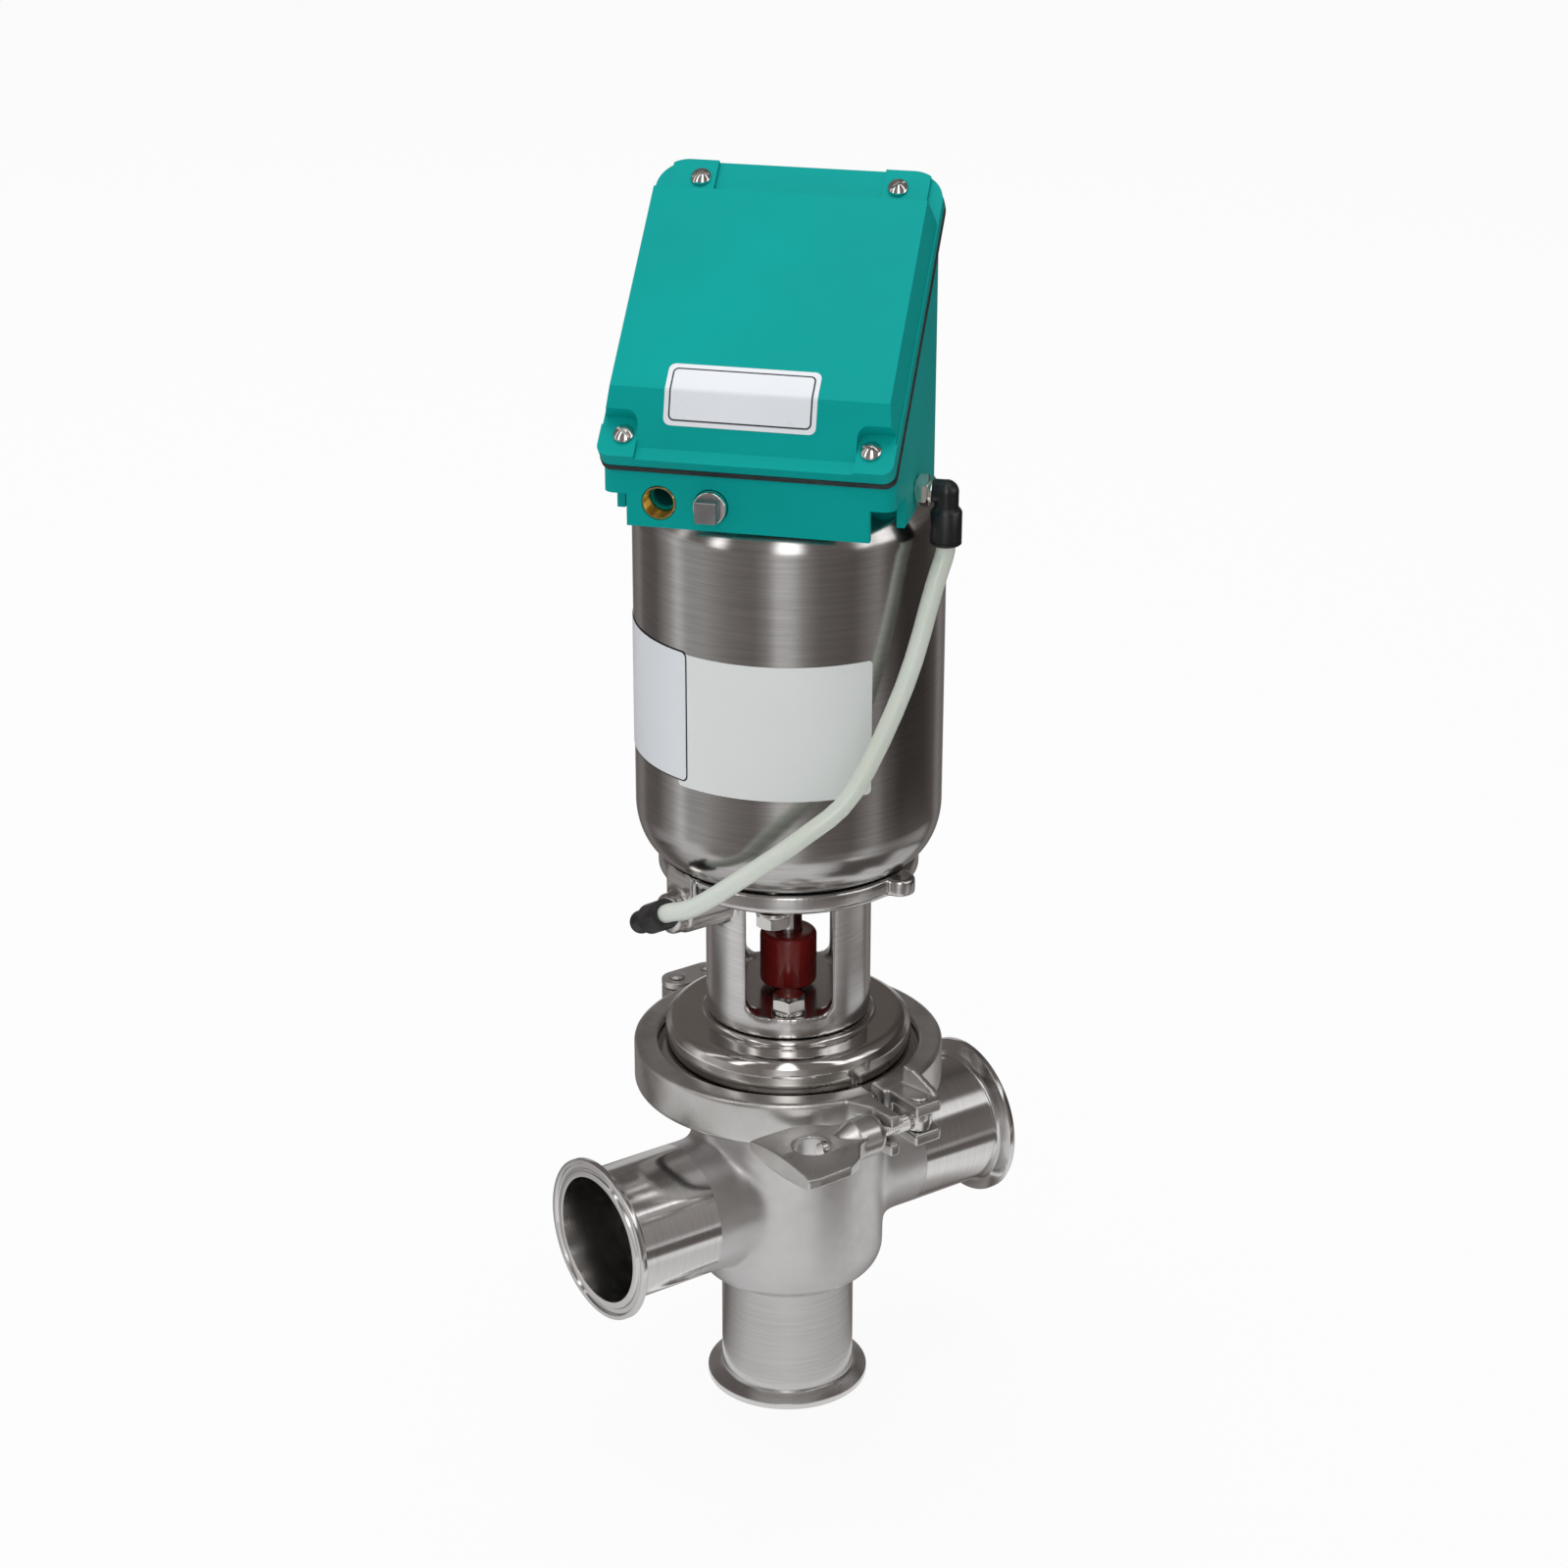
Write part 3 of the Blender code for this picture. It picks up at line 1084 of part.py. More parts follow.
def plan(inset, half_width, front, rear, rear_corner, front_corner):
    """The box's outline from above, with larger corners at the back."""
    w = half_width - inset
    f = front - inset
    r = rear - inset
    a = max(rear_corner - inset, CHAMFER)
    b = max(front_corner - inset, CHAMFER)
    return (
        arc((w - b, b - f), b, -90, 0, 2)
        + arc((w - a, r - a), a, 0, 90, 4)
        + arc((a - w, r - a), a, 90, 180, 4)
        + arc((b - w, b - f), b, 180, 270, 2)
    )


box_plan = (BOX_HALF_WIDTH, BOX_FRONT, BOX_REAR, BOX_REAR_CORNER, BOX_FRONT_CORNER)
rise = SEAL_FRONT_HEIGHT + (BOX_FRONT + BOX_REAR) * math.tan(COVER_SLOPE) + BOX_WALL
base = slab("control_base", plan(0, *box_plan), BOX_BOTTOM, rise, "teal_plastic", parent=box_frame)
above_slope = block("above_slope", (-2 * BOX_HALF_WIDTH, -BOX_FRONT, 0), (2 * BOX_HALF_WIDTH,
                                                                          2 * COVER_LENGTH, rise),
                    None, parent=cover_frame)
inside = slab("box_inside", plan(BOX_WALL, *box_plan), BOX_FLOOR, rise + BOX_WALL, None, parent=box_frame)
over_cylinder = turned(
    "space_over_cylinder",
    [(0, CYLINDER_TOP + GAP)]
    + arc((can_flat, CYLINDER_TOP - CYLINDER_CORNER), CYLINDER_CORNER + GAP, 90, 0, 4)
    + [(CYLINDER_RADIUS + GAP, can_low), (0, can_low)],
    None,
)
rod_way = rod("rod_way", hub_bore + GAP, CYLINDER_TOP, BOX_FLOOR + BOX_WALL, None)
underside = slab("box_underside", plan(BOX_WALL, *box_plan), BOX_BOTTOM - BOX_WALL, BOX_FLOOR - BOX_WALL,
                 None,
                 parent=box_frame)
cut(base, inside, underside)
pad = rod("box_pad", BOX_PAD_RADIUS, CYLINDER_TOP - BOX_WALL, BOX_FLOOR - BOX_WALL / 2, None, TURN_STEPS)
port_blocks = [
    rod(f"{label}_block", PORT_BLOCK_RADIUS, -PORT_BLOCK_LENGTH, -BOX_WALL / 2, None, SMALL_STEPS,
        location=where,
        rotation=turn, parent=box_frame)
    for label, where, turn in (
        ("bush", (BUSH_PORT[0], -BOX_FRONT, BUSH_PORT[1]), (math.radians(90), 0, 0)),
        ("plug", (PLUG_PORT[0], -BOX_FRONT, PLUG_PORT[1]), (math.radians(90), 0, 0)),
        ("side", (BOX_HALF_WIDTH, *SIDE_PORT), (0, math.radians(90), 0)),
    )
]
join(base, pad, *port_blocks)
screw_bosses = []
for side in (-1, 1):
    for label, screw_x, wall_y, inward in (
        ("low", SCREW_LOW[0], -BOX_FRONT, 1),
        ("high", SCREW_HIGH[0], BOX_REAR, -1),
    ):
        boss_y = wall_y + inward * (BOX_WALL + SCREW_BOSS_RADIUS - SCREW_BOSS_SINK)
        screw_boss = rod(f"screw_boss_{label}_{side + 2}", SCREW_BOSS_RADIUS, BOX_FLOOR - SCREW_BOSS_SINK,
                         rise, None,
                         location=(side * screw_x, boss_y, 0), parent=box_frame)
        screw_bosses.append(screw_boss)
join(base, *screw_bosses)
cut(base, above_slope, over_cylinder, rod_way)
for side in (-1, 1):
    corner_x = side * (BOX_HALF_WIDTH - NOTCH_INSET)
    far_x = side * (BOX_HALF_WIDTH + BOX_WALL)
    notch = block(f"corner_notch_{side + 2}", (min(corner_x, far_x), -BOX_FRONT - BOX_WALL, 0),
                  (max(corner_x, far_x), NOTCH_DEPTH - BOX_FRONT, BOX_BOTTOM + NOTCH_HEIGHT), None,
                  parent=box_frame)
    cut(base, notch)

# Cover gasket and cover, in the sloping frame: X across, Y up the slope, Z out of it
def sloped_plan(inset):
    """The outline of the box's mouth on the slope."""
    return [(x, (y + BOX_FRONT) / slope_cos) for x, y in plan(inset, *box_plan)]


gasket = slab("cover_gasket", sloped_plan(COVER_GASKET_INSET), GAP, GAP + COVER_GASKET, "black_rubber",
              parent=cover_frame)
gasket_inside = slab("gasket_inside", sloped_plan(BOX_WALL + GASKET_BAND), -COVER_WALL, COVER_WALL, None,
                     parent=cover_frame)
cut(gasket, gasket_inside)

ACROSS = (math.radians(90), 0, math.radians(90))
cover_low = GAP + COVER_GASKET + GAP
flange_top = cover_low + COVER_FLANGE
cover_half = BOX_HALF_WIDTH + COVER_OVERHANG
cover_plan = plan(0, cover_half, COVER_LIP, COVER_LENGTH, COVER_CORNER, BOX_FRONT_CORNER)
cover = slab("control_cover", cover_plan, cover_low, flange_top, "teal_plastic", parent=cover_frame)
dome_top = cover_low + COVER_HEIGHT
dome = slab(
    "cover_dome",
    [(COVER_FOOT, cover_low + COVER_FLANGE / 2), (COVER_FOOT, flange_top), (COVER_CREASE, dome_top),
     (COVER_CREST, dome_top), (COVER_CREST + COVER_FOOT / 2, flange_top),
     (COVER_CREST + COVER_FOOT / 2, cover_low + COVER_FLANGE / 2)],
    -cover_half, cover_half, None, rotation=ACROSS, parent=cover_frame,
)
draft_low = cover_half + COVER_DRAFT * COVER_FLANGE / COVER_HEIGHT
draft_outline = [(-draft_low, 0), (draft_low, 0), (cover_half - COVER_DRAFT, dome_top),
                 (COVER_DRAFT - cover_half, dome_top)]
draft = slab("cover_draft", draft_outline, -COVER_LENGTH,
             COVER_LIP * 2, None, rotation=(math.radians(90), 0, 0), parent=cover_frame)
boolean(dome, draft, "INTERSECT")
soften(dome, DOME_ROUNDING, 2, 20)

# Four raised tabs for the screws: low ones in pockets of the steep face, high ones behind the crest
tab_plan = plan(GAP, cover_half, COVER_LIP, COVER_LENGTH, COVER_CORNER, BOX_FRONT_CORNER)
tabs = slab("cover_tabs", tab_plan, cover_low + COVER_FLANGE / 2, flange_top + TAB_RISE, None,
            parent=cover_frame)
tab_low_x = cover_half - TAB_WIDTH_LOW
tab_high_x = SCREW_HIGH[0] - TAB_WIDTH_TOP / 2 + TAB_SHIFT
pocket_end = TAB_LENGTH - COVER_LIP
between_low = block("between_low_tabs", (TAB_SEAT - tab_low_x, -2 * TAB_LENGTH, 0),
                    (tab_low_x - TAB_SEAT, pocket_end + 2 * TAB_SEAT, dome_top), None, parent=cover_frame)
between_ends = block("between_tab_ends", (-2 * cover_half, pocket_end + TAB_SEAT, 0),
                     (2 * cover_half, COVER_CREST, dome_top), None, parent=cover_frame)
between_high = block("between_high_tabs", (-tab_high_x, COVER_CREST / 2, 0), (tab_high_x,
                                                                              2 * COVER_LENGTH, dome_top),
                     None, parent=cover_frame)
cut(tabs, between_low, between_ends, between_high)
for side in (-1, 1):
    edge_x = side * (tab_high_x + TAB_WIDTH_TOP)
    far_x = side * 2 * cover_half
    beside = block(f"beside_high_tab_{side + 2}", (min(edge_x, far_x), COVER_CREST / 2, 0),
                   (max(edge_x, far_x), 2 * COVER_LENGTH, dome_top), None, parent=cover_frame)
    cut(tabs, beside)

cavity = slab(
    "cover_cavity",
    [(COVER_FOOT + COVER_WALL, -COVER_WALL), (COVER_FOOT + COVER_WALL, flange_top - COVER_WALL / 2),
     (COVER_CREASE + COVER_WALL / 3, dome_top - COVER_WALL), (COVER_CREST - COVER_WALL / 2,
                                                              dome_top - COVER_WALL),
     (COVER_CREST - COVER_WALL / 2, -COVER_WALL)],
    COVER_WALL + COVER_DRAFT - cover_half, cover_half - COVER_DRAFT - COVER_WALL, None,
    rotation=ACROSS, parent=cover_frame,
)
pocket_corner = TAB_LENGTH / 4
pockets = []
for side in (-1, 1):
    inner = (tab_low_x - COVER_WALL) * side
    outer = 2 * cover_half * side
    post = block(f"cavity_post_{side + 2}", (min(inner, outer), -COVER_LIP, -2 * COVER_WALL),
                 (max(inner, outer), pocket_end + COVER_WALL, dome_top), None, parent=cover_frame)
    cut(cavity, post)
    pocket_outline = [(side * 2 * cover_half, pocket_end), (side * 2 * cover_half, -2 * COVER_LIP)]
    pocket_outline += [(side * tab_low_x, -2 * COVER_LIP)]
    rounded = arc((tab_low_x + pocket_corner, pocket_end - pocket_corner), pocket_corner, 180, 90, 4)
    pocket_outline += [(side * x, y) for x, y in rounded]
    pockets.append(slab(f"tab_pocket_{side + 2}", pocket_outline, flange_top + TAB_RISE / 2, 2 * dome_top,
                        None,
                        parent=cover_frame))
join(cover, dome)
cut(cover, *pockets)
join(cover, tabs)
cut(cover, cavity)

# Four slotted screws through the tabs, the gasket and the bosses of the box
screw_seat = flange_top + TAB_RISE
for label, (screw_x, screw_y) in (("low", SCREW_LOW), ("high", SCREW_HIGH)):
    for side, side_label in ((-1, "left"), (1, "right")):
        where = (side * screw_x, screw_y, screw_seat)
        head_low = GAP
        head_high = GAP + SCREW_HEAD_HEIGHT
        screw = turned(
            f"cover_screw_{label}_{side_label}",
            [
                (0, head_high),
                (SCREW_HEAD_RADIUS * 0.6, head_high - SCREW_HEAD_HEIGHT * 0.15),
                (SCREW_HEAD_RADIUS * 0.92, head_high - SCREW_HEAD_HEIGHT * 0.5),
                (SCREW_HEAD_RADIUS, head_low),
                (SCREW_SHANK_RADIUS, head_low),
                (SCREW_SHANK_RADIUS, -SCREW_LENGTH),
                (0, -SCREW_LENGTH),
            ],
            "nickel", SMALL_STEPS, location=where, parent=cover_frame,
        )
        slot = block(f"screw_slot_{label}_{side_label}", (-SCREW_HEAD_RADIUS * 2, -SLOT_WIDTH / 2,
                                                          head_high / 2),
                     (SCREW_HEAD_RADIUS * 2, SLOT_WIDTH / 2, 2 * head_high), None, location=where,
                     rotation=(0, 0, math.radians(SLOT_TURNS[label, side_label])), parent=cover_frame)
        cut(screw, slot)
        hole = rod(f"screw_hole_{label}_{side_label}", SCREW_SHANK_RADIUS + GAP, -SCREW_LENGTH - GAP, GAP,
                   None,
                   location=where, parent=cover_frame)
        for piece in (cover, gasket, base):
            cut(piece, hole)

# Ports in the front of the box: a brass thread insert and a square-headed pipe plug
front_frame = (math.radians(90), 0, 0)
bush_place = (BUSH_PORT[0], -BOX_FRONT, BUSH_PORT[1])
plug_place = (PLUG_PORT[0], -BOX_FRONT, PLUG_PORT[1])
for label, port in (("bush", bush_place), ("plug", plug_place)):
    cut(base, rod(f"{label}_port", PIPE_RADIUS + GAP, -PIPE_DEPTH - GAP, PIPE_DEPTH, None, ROUND_STEPS,
                  location=port, rotation=front_frame, parent=box_frame))
sleeve("brass_bush", PIPE_RADIUS, PIPE_BORE_RADIUS, -PIPE_DEPTH, 0, "brass", ROUND_STEPS,
       location=bush_place, rotation=front_frame, parent=box_frame)
plug = turned(
    "pipe_plug",
    [(0, PLUG_COLLAR), (PIPE_RADIUS - PLUG_BEVEL, PLUG_COLLAR), (PIPE_RADIUS, PLUG_COLLAR - PLUG_BEVEL),
     (PIPE_RADIUS, -PIPE_DEPTH), (0, -PIPE_DEPTH)],
    "nickel", ROUND_STEPS, location=plug_place, rotation=front_frame, parent=box_frame,
)
half_square = PLUG_SQUARE / 2
square = block("plug_square", (-half_square, -half_square, 0), (half_square, half_square, PLUG_REACH),
               None, location=plug_place, rotation=front_frame, parent=box_frame)
soften(square, HEX_CHAMFER, 1)
join(plug, square)


# Push-in fittings: a hex nipple in each port with a swivel elbow on it
def hex_nipple(name, **where):
    """A hex that stands on its port's face along its own Z, with its thread below."""
    nipple = hex_bar(name, FITTING_FLATS, GAP, GAP + FITTING_LENGTH, "nickel", **where)
    soften(nipple, FITTING_CHAMFER, 1)
    thread_part = rod(name + "_thread", FITTING_THREAD_RADIUS, -FITTING_THREAD_LENGTH,
                      GAP + FITTING_LENGTH / 2,
                      None, **where)
    join(nipple, thread_part)


def swivel_elbow(name, **where):
    """An elbow with its corner at its own origin, fed from -X, with its tube socket towards +Z."""
    frame = empty(name + "_frame", **where)
    elbow = turned(
        name,
        [
            (0, ELBOW_ARM),
            (ELBOW_SLEEVE_RADIUS - ELBOW_EDGE, ELBOW_ARM),
            (ELBOW_SLEEVE_RADIUS, ELBOW_ARM - ELBOW_EDGE),
            (ELBOW_SLEEVE_RADIUS, ELBOW_ARM - ELBOW_SLEEVE),
            (ELBOW_RADIUS, ELBOW_ARM - ELBOW_SLEEVE - ELBOW_SHOULDER),
            (ELBOW_RADIUS, 0),
            (0, 0),
        ],
        "black_plastic", ROUND_STEPS, parent=frame,
    )
    knee_mesh = bmesh.new()
    bmesh.ops.create_uvsphere(knee_mesh, u_segments=ROUND_STEPS, v_segments=ROUND_STEPS // 2,
                              radius=ELBOW_RADIUS * 1.01)
    knee = from_bmesh(name + "_knee", knee_mesh, None, parent=frame)
    inlet = rod(name + "_inlet", ELBOW_RADIUS * 0.99, -ELBOW_OUT, 0, None, ROUND_STEPS, parent=frame,
                rotation=(0, math.radians(90), 0))
    socket = rod(name + "_socket", AIR_TUBE_RADIUS + GAP, ELBOW_ARM - TUBE_INSERTION - GAP, 2 * ELBOW_ARM,
                 None,
                 parent=frame)
    join(elbow, knee, inlet)
    cut(elbow, socket)
    return frame


corner_out = GAP + FITTING_LENGTH + GAP + ELBOW_OUT
lower_face = (-PORT_REACH, 0, PORT_HEIGHT)
hex_nipple("lower_fitting", location=lower_face, rotation=(0, math.radians(-90), 0))
lower_corner = swivel_elbow("lower_elbow", location=(-PORT_REACH - corner_out, 0, PORT_HEIGHT),
                            rotation=(LOWER_TURN - math.radians(90), 0, math.pi))
side_face = (BOX_HALF_WIDTH, SIDE_PORT[0], SIDE_PORT[1])
hex_nipple("side_fitting", location=side_face, rotation=(0, math.radians(90), 0), parent=box_frame)
cut(base, rod("side_port", FITTING_THREAD_RADIUS + GAP, -FITTING_THREAD_LENGTH - GAP, FITTING_LENGTH, None,
              location=side_face, rotation=(0, math.radians(90), 0), parent=box_frame))
upper_corner = swivel_elbow("upper_elbow", location=(BOX_HALF_WIDTH + corner_out, SIDE_PORT[0],
                                                     SIDE_PORT[1]),
                            rotation=(math.pi, 0, 0), parent=box_frame)

# Air line between the two elbows, clear of the cylinder's side
bpy.context.view_layer.update()


def socket_axis(frame):
    """Two points on an elbow's socket: the end of the tube in it, and one just outside it."""
    return [frame.matrix_world @ Vector((0, 0, ELBOW_ARM + along)) for along in (-TUBE_INSERTION, TUBE_LEAD)]


line_low = socket_axis(lower_corner)
line_high = socket_axis(upper_corner)[::-1]
between = []
for degrees, clearance, share in AIR_LINE_ROUTE:
    turn = math.radians(degrees)
    reach = CYLINDER_RADIUS + clearance
    between.append(Vector((reach * math.cos(turn), reach * math.sin(turn),
                           line_low[1].z + share * (line_high[0].z - line_low[1].z))))
route = line_low + between + line_high


def smooth_route(points, steps):
    """Points of a Catmull-Rom curve through these, with both end stretches kept straight."""
    smooth = [points[0]]
    for i in range(1, len(points) - 2):
        before, start, end, after = points[i - 1:i + 3]
        for step in range(steps):
            t = step / steps
            smooth.append(0.5 * (2 * start + (end - before) * t
                                 + (2 * before - 5 * start + 4 * end - after) * t ** 2
                                 + (3 * start - before - 3 * end + after) * t ** 3))
    return smooth + points[-2:]


line = bpy.data.curves.new("air_tube", "CURVE")
line.dimensions = "3D"
line.bevel_depth = AIR_TUBE_RADIUS
line.bevel_resolution = 2
line.use_fill_caps = True
line_points = smooth_route(route, 2)
spline = line.splines.new("POLY")
spline.points.add(len(line_points) - 1)
for point, place_on_route in zip(spline.points, line_points):
    point.co = (*place_on_route, 1)
place(bpy.data.objects.new("air_tube", line), "tube_plastic")
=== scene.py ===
import math

import bmesh
import bpy
from mathutils import Matrix, Vector


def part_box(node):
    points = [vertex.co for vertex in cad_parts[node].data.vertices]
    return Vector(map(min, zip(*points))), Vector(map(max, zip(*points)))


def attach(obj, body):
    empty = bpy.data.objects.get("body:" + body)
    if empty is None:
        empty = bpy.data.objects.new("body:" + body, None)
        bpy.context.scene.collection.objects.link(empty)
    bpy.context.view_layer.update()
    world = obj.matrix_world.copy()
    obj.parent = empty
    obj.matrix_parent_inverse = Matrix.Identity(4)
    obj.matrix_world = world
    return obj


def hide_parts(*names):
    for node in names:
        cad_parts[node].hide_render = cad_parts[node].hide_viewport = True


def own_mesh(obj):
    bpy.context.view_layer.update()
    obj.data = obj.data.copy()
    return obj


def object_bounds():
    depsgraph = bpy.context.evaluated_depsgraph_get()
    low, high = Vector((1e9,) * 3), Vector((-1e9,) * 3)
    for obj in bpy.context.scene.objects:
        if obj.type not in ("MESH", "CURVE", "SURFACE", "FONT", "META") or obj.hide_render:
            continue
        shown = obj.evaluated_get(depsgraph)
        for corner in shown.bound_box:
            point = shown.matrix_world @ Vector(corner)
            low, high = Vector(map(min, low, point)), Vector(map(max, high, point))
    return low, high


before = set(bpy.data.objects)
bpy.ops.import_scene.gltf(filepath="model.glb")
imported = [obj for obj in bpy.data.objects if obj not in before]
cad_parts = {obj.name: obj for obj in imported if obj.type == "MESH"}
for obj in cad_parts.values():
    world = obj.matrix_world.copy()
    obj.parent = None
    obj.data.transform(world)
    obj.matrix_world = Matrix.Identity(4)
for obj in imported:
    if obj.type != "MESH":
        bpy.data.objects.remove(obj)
model_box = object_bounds()

# The set. A pale floor, a white surround, soft lamps above and around, and a bowl of glowing warm grey cards with
# bright strips that only polished metal shows: they paint its reflections and highlights. The camera stands where the
# photograph was taken from.
scene = bpy.context.scene
scene.view_settings.view_transform = "Standard"
eye = bpy.data.cameras.new("camera")
eye.lens = 81.513
eye.sensor_width = 36
eye.clip_end = 30
camera = bpy.data.objects.new("camera", eye)
camera.location = (-0.86994, -1.21875, 0.93940)
camera.rotation_euler = (math.radians(67.2136), math.radians(-0.1131), math.radians(-35.3875))
scene.collection.objects.link(camera)
scene.camera = camera
camera_side = math.atan2(camera.location.y, camera.location.x)


def add(look, kind, **values):
    """A node in a material or in the world, with its settings and its socket values."""
    node = look.node_tree.nodes.new(kind)
    for name, value in values.items():
        if hasattr(node, name):
            setattr(node, name, value)
        else:
            node.inputs[name.replace("_", " ")].default_value = value
    return node


def join_sockets(look, *pairs):
    for start, end in pairs:
        look.node_tree.links.new(start, end)


def seen_plainly(look):
    """1 for rays from the camera, off metal or through clear plastic, and 0 for the rest."""
    path = add(look, "ShaderNodeLightPath")
    first = add(look, "ShaderNodeMath", operation="MAXIMUM")
    both = add(look, "ShaderNodeMath", operation="MAXIMUM")
    join_sockets(look, (path.outputs["Is Camera Ray"], first.inputs[0]),
                 (path.outputs["Is Glossy Ray"], first.inputs[1]),
                 (first.outputs[0], both.inputs[0]), (path.outputs["Is Transmission Ray"], both.inputs[1]))
    return both.outputs[0]


surround = bpy.data.worlds.new("surround")
surround.use_nodes = True
scene.world = surround
strength = add(surround, "ShaderNodeMapRange", To_Max=1.0)
around_it = add(surround, "ShaderNodeTexCoord")
towards = add(surround, "ShaderNodeVectorMath", operation="DOT_PRODUCT")
bright_side = camera_side - math.radians(60)
towards.inputs[1].default_value = (math.cos(bright_side), math.sin(bright_side), 0)
falling_off = add(surround, "ShaderNodeMapRange", From_Min=-1.0, From_Max=1.0, To_Min=0.20, To_Max=0.88)
join_sockets(surround, (around_it.outputs["Generated"], towards.inputs[0]),
             (towards.outputs["Value"], falling_off.inputs["Value"]), (falling_off.outputs[0], strength.inputs["To Min"]),
             (seen_plainly(surround), strength.inputs["Value"]),
             (strength.outputs[0], surround.node_tree.nodes["Background"].inputs["Strength"]))
surround.node_tree.nodes["Background"].inputs["Color"].default_value = (1, 1, 1, 1)

floor_look = bpy.data.materials.new("floor_paper")
floor_look.use_nodes = True
paper = floor_look.node_tree.nodes["Principled BSDF"]
paper.inputs["Base Color"].default_value = (0.74, 0.74, 0.74, 1)
paper.inputs["Roughness"].default_value = 0.9
paper.inputs["Specular IOR Level"].default_value = 0.1
glow = add(floor_look, "ShaderNodeEmission", Strength=1.0)
blend = add(floor_look, "ShaderNodeMixShader")
share = add(floor_look, "ShaderNodeMath", operation="MULTIPLY")
share.inputs[1].default_value = 0.93
join_sockets(floor_look, (seen_plainly(floor_look), share.inputs[0]), (share.outputs[0], blend.inputs[0]),
             (paper.outputs[0], blend.inputs[1]), (glow.outputs[0], blend.inputs[2]),
             (blend.outputs[0], floor_look.node_tree.nodes["Material Output"].inputs["Surface"]))


def as_object(name, bm, look):
    """A shaded object from a bmesh, with its place in its mesh."""
    mesh = bpy.data.meshes.new(name)
    bm.to_mesh(mesh)
    bm.free()
    mesh.materials.append(look)
    made = bpy.data.objects.new(name, mesh)
    scene.collection.objects.link(made)
    return made


floor_mesh = bmesh.new()
bmesh.ops.create_circle(floor_mesh, cap_ends=True, segments=96, radius=12,
                        matrix=Matrix.Translation((0, 0, model_box[0].z - 0.0002)))
as_object("floor", floor_mesh, floor_look)


def lamp(name, place, size, power, colour=(1, 1, 1)):
    """A square soft lamp that faces the middle of the valve."""
    light = bpy.data.lights.new(name, "AREA")
    light.size = size
    light.energy = power
    light.color = colour
    stand = bpy.data.objects.new(name, light)
    stand.location = place
    stand.rotation_euler = (Vector((0, 0, 0.3)) - Vector(place)).to_track_quat("-Z", "Y").to_euler()
    scene.collection.objects.link(stand)


lamp("overhead_lamp", (0.15, 0.20, 2.7), 1.4, 26)
lamp("key_lamp", (-1.5, -1.7, 1.6), 1.3, 7)
lamp("side_lamp", (2.0, -1.1, 1.4), 1.2, 1)
lamp("rear_lamp", (0.6, 2.1, 1.9), 1.4, 8)

# What the glowing cards show, as (angle from the camera's side, brightness), from the paper at the valve's foot
# up to the ceiling: painted reflections, whose bright strips are painted highlights on the metal. Each zone but the
# first begins between two heights. The low ones share the strips behind.
BEHIND_LEFT = [(-180, 0.62), (-166, 0.56), (-157, 0.13), (-136, 0.30), (-128, 0.16)]
BEHIND_RIGHT = [(130, 0.12), (138, 0.30), (157, 0.12), (166, 0.56), (180, 0.62)]
DARK_BEHIND = [(-180, 0.14)], [(150, 0.07), (180, 0.14)]
WALL_STRIPS = [(-108, 0.14), (-92, 0.42), (-84, 0.85), (-76, 0.46), (-62, 0.46), (-43, 0.28), (-24, 0.20), (-14, 0.36),
               (-8, 0.80), (2, 0.72), (9, 0.36), (20, 0.19), (45, 0.14), (56, 0.26), (64, 0.36), (72, 0.15), (86, 0.05),
               (113, 0.06)]
CARD_ZONES = [
    (None, [(-116, 0.16), (-84, 0.46), (-60, 0.66), (0, 0.76), (40, 0.66), (84, 0.54), (112, 0.34)]),
    ((0.0075, 0.0105), [(-116, 0.16), (-86, 0.60), (-40, 0.84), (25, 0.86), (84, 0.90), (120, 0.80)]),
    ((0.0130, 0.0155), [(-108, 0.15), (-86, 0.66), (-40, 0.84), (18, 0.88), (30, 0.60), (38, 0.12), (66, 0.12),
                        (76, 0.85), (124, 0.70)]),
    ((0.0205, 0.0230), [(-108, 0.15), (-86, 0.66), (-40, 0.84), (20, 0.88), (34, 0.60), (44, 0.12), (84, 0.12),
                        (94, 0.66), (124, 0.66)]),
    ((0.0372, 0.0384), [(-112, 0.03), (-100, 0.15), (-86, 0.80), (-60, 0.95), (-46, 0.46), (-23, 0.34), (-14, 0.50),
                        (-7, 1.10), (0, 1.00), (8, 0.34), (30, 0.22), (41, 0.46), (49, 1.40), (58, 0.80), (69, 0.55),
                        (84, 0.08), (120, 0.05)]),
    ((0.0405, 0.0425), [(-120, 0.22), (-98, 0.50), (-84, 0.86), (-68, 0.80), (-56, 0.30), (-20, 0.20), (-10, 0.60),
                        (4, 0.60), (14, 0.24), (44, 0.24), (60, 0.60), (74, 0.34), (88, 0.30), (104, 0.40),
                        (118, 0.45)]),
    ((0.0570, 0.0620), WALL_STRIPS),
    ((0.2600, 0.3400), WALL_STRIPS),
    ((0.46, 0.52), [(-110, 0.13), (-86, 0.20), (-80, 1.4), (-74, 0.18), (-58, 0.20), (-50, 2.8), (-42, 0.20),
                    (-12, 0.20), (-5, 3.0), (4, 3.0), (11, 0.20), (44, 0.18), (54, 2.2), (59, 1.0), (64, 1.9),
                    (72, 1.9), (80, 0.90), (92, 0.90), (98, 0.16), (120, 0.13)]),
    ((0.70, 0.80), [(-110, 0.13), (-86, 0.20), (-80, 1.4), (-74, 0.18), (-58, 0.20), (-50, 2.8), (-42, 0.20),
                    (-12, 0.20), (-5, 3.0), (4, 3.0), (11, 0.20), (48, 0.18), (55, 2.6), (63, 0.18), (120, 0.13)]),
]


def card_colour(level):
    """Bright cards are neutral, and dark ones brown."""
    share = min(1, level / 0.5)
    return level, level * (0.84 + 0.15 * share), level * (0.76 + 0.23 * share), 1


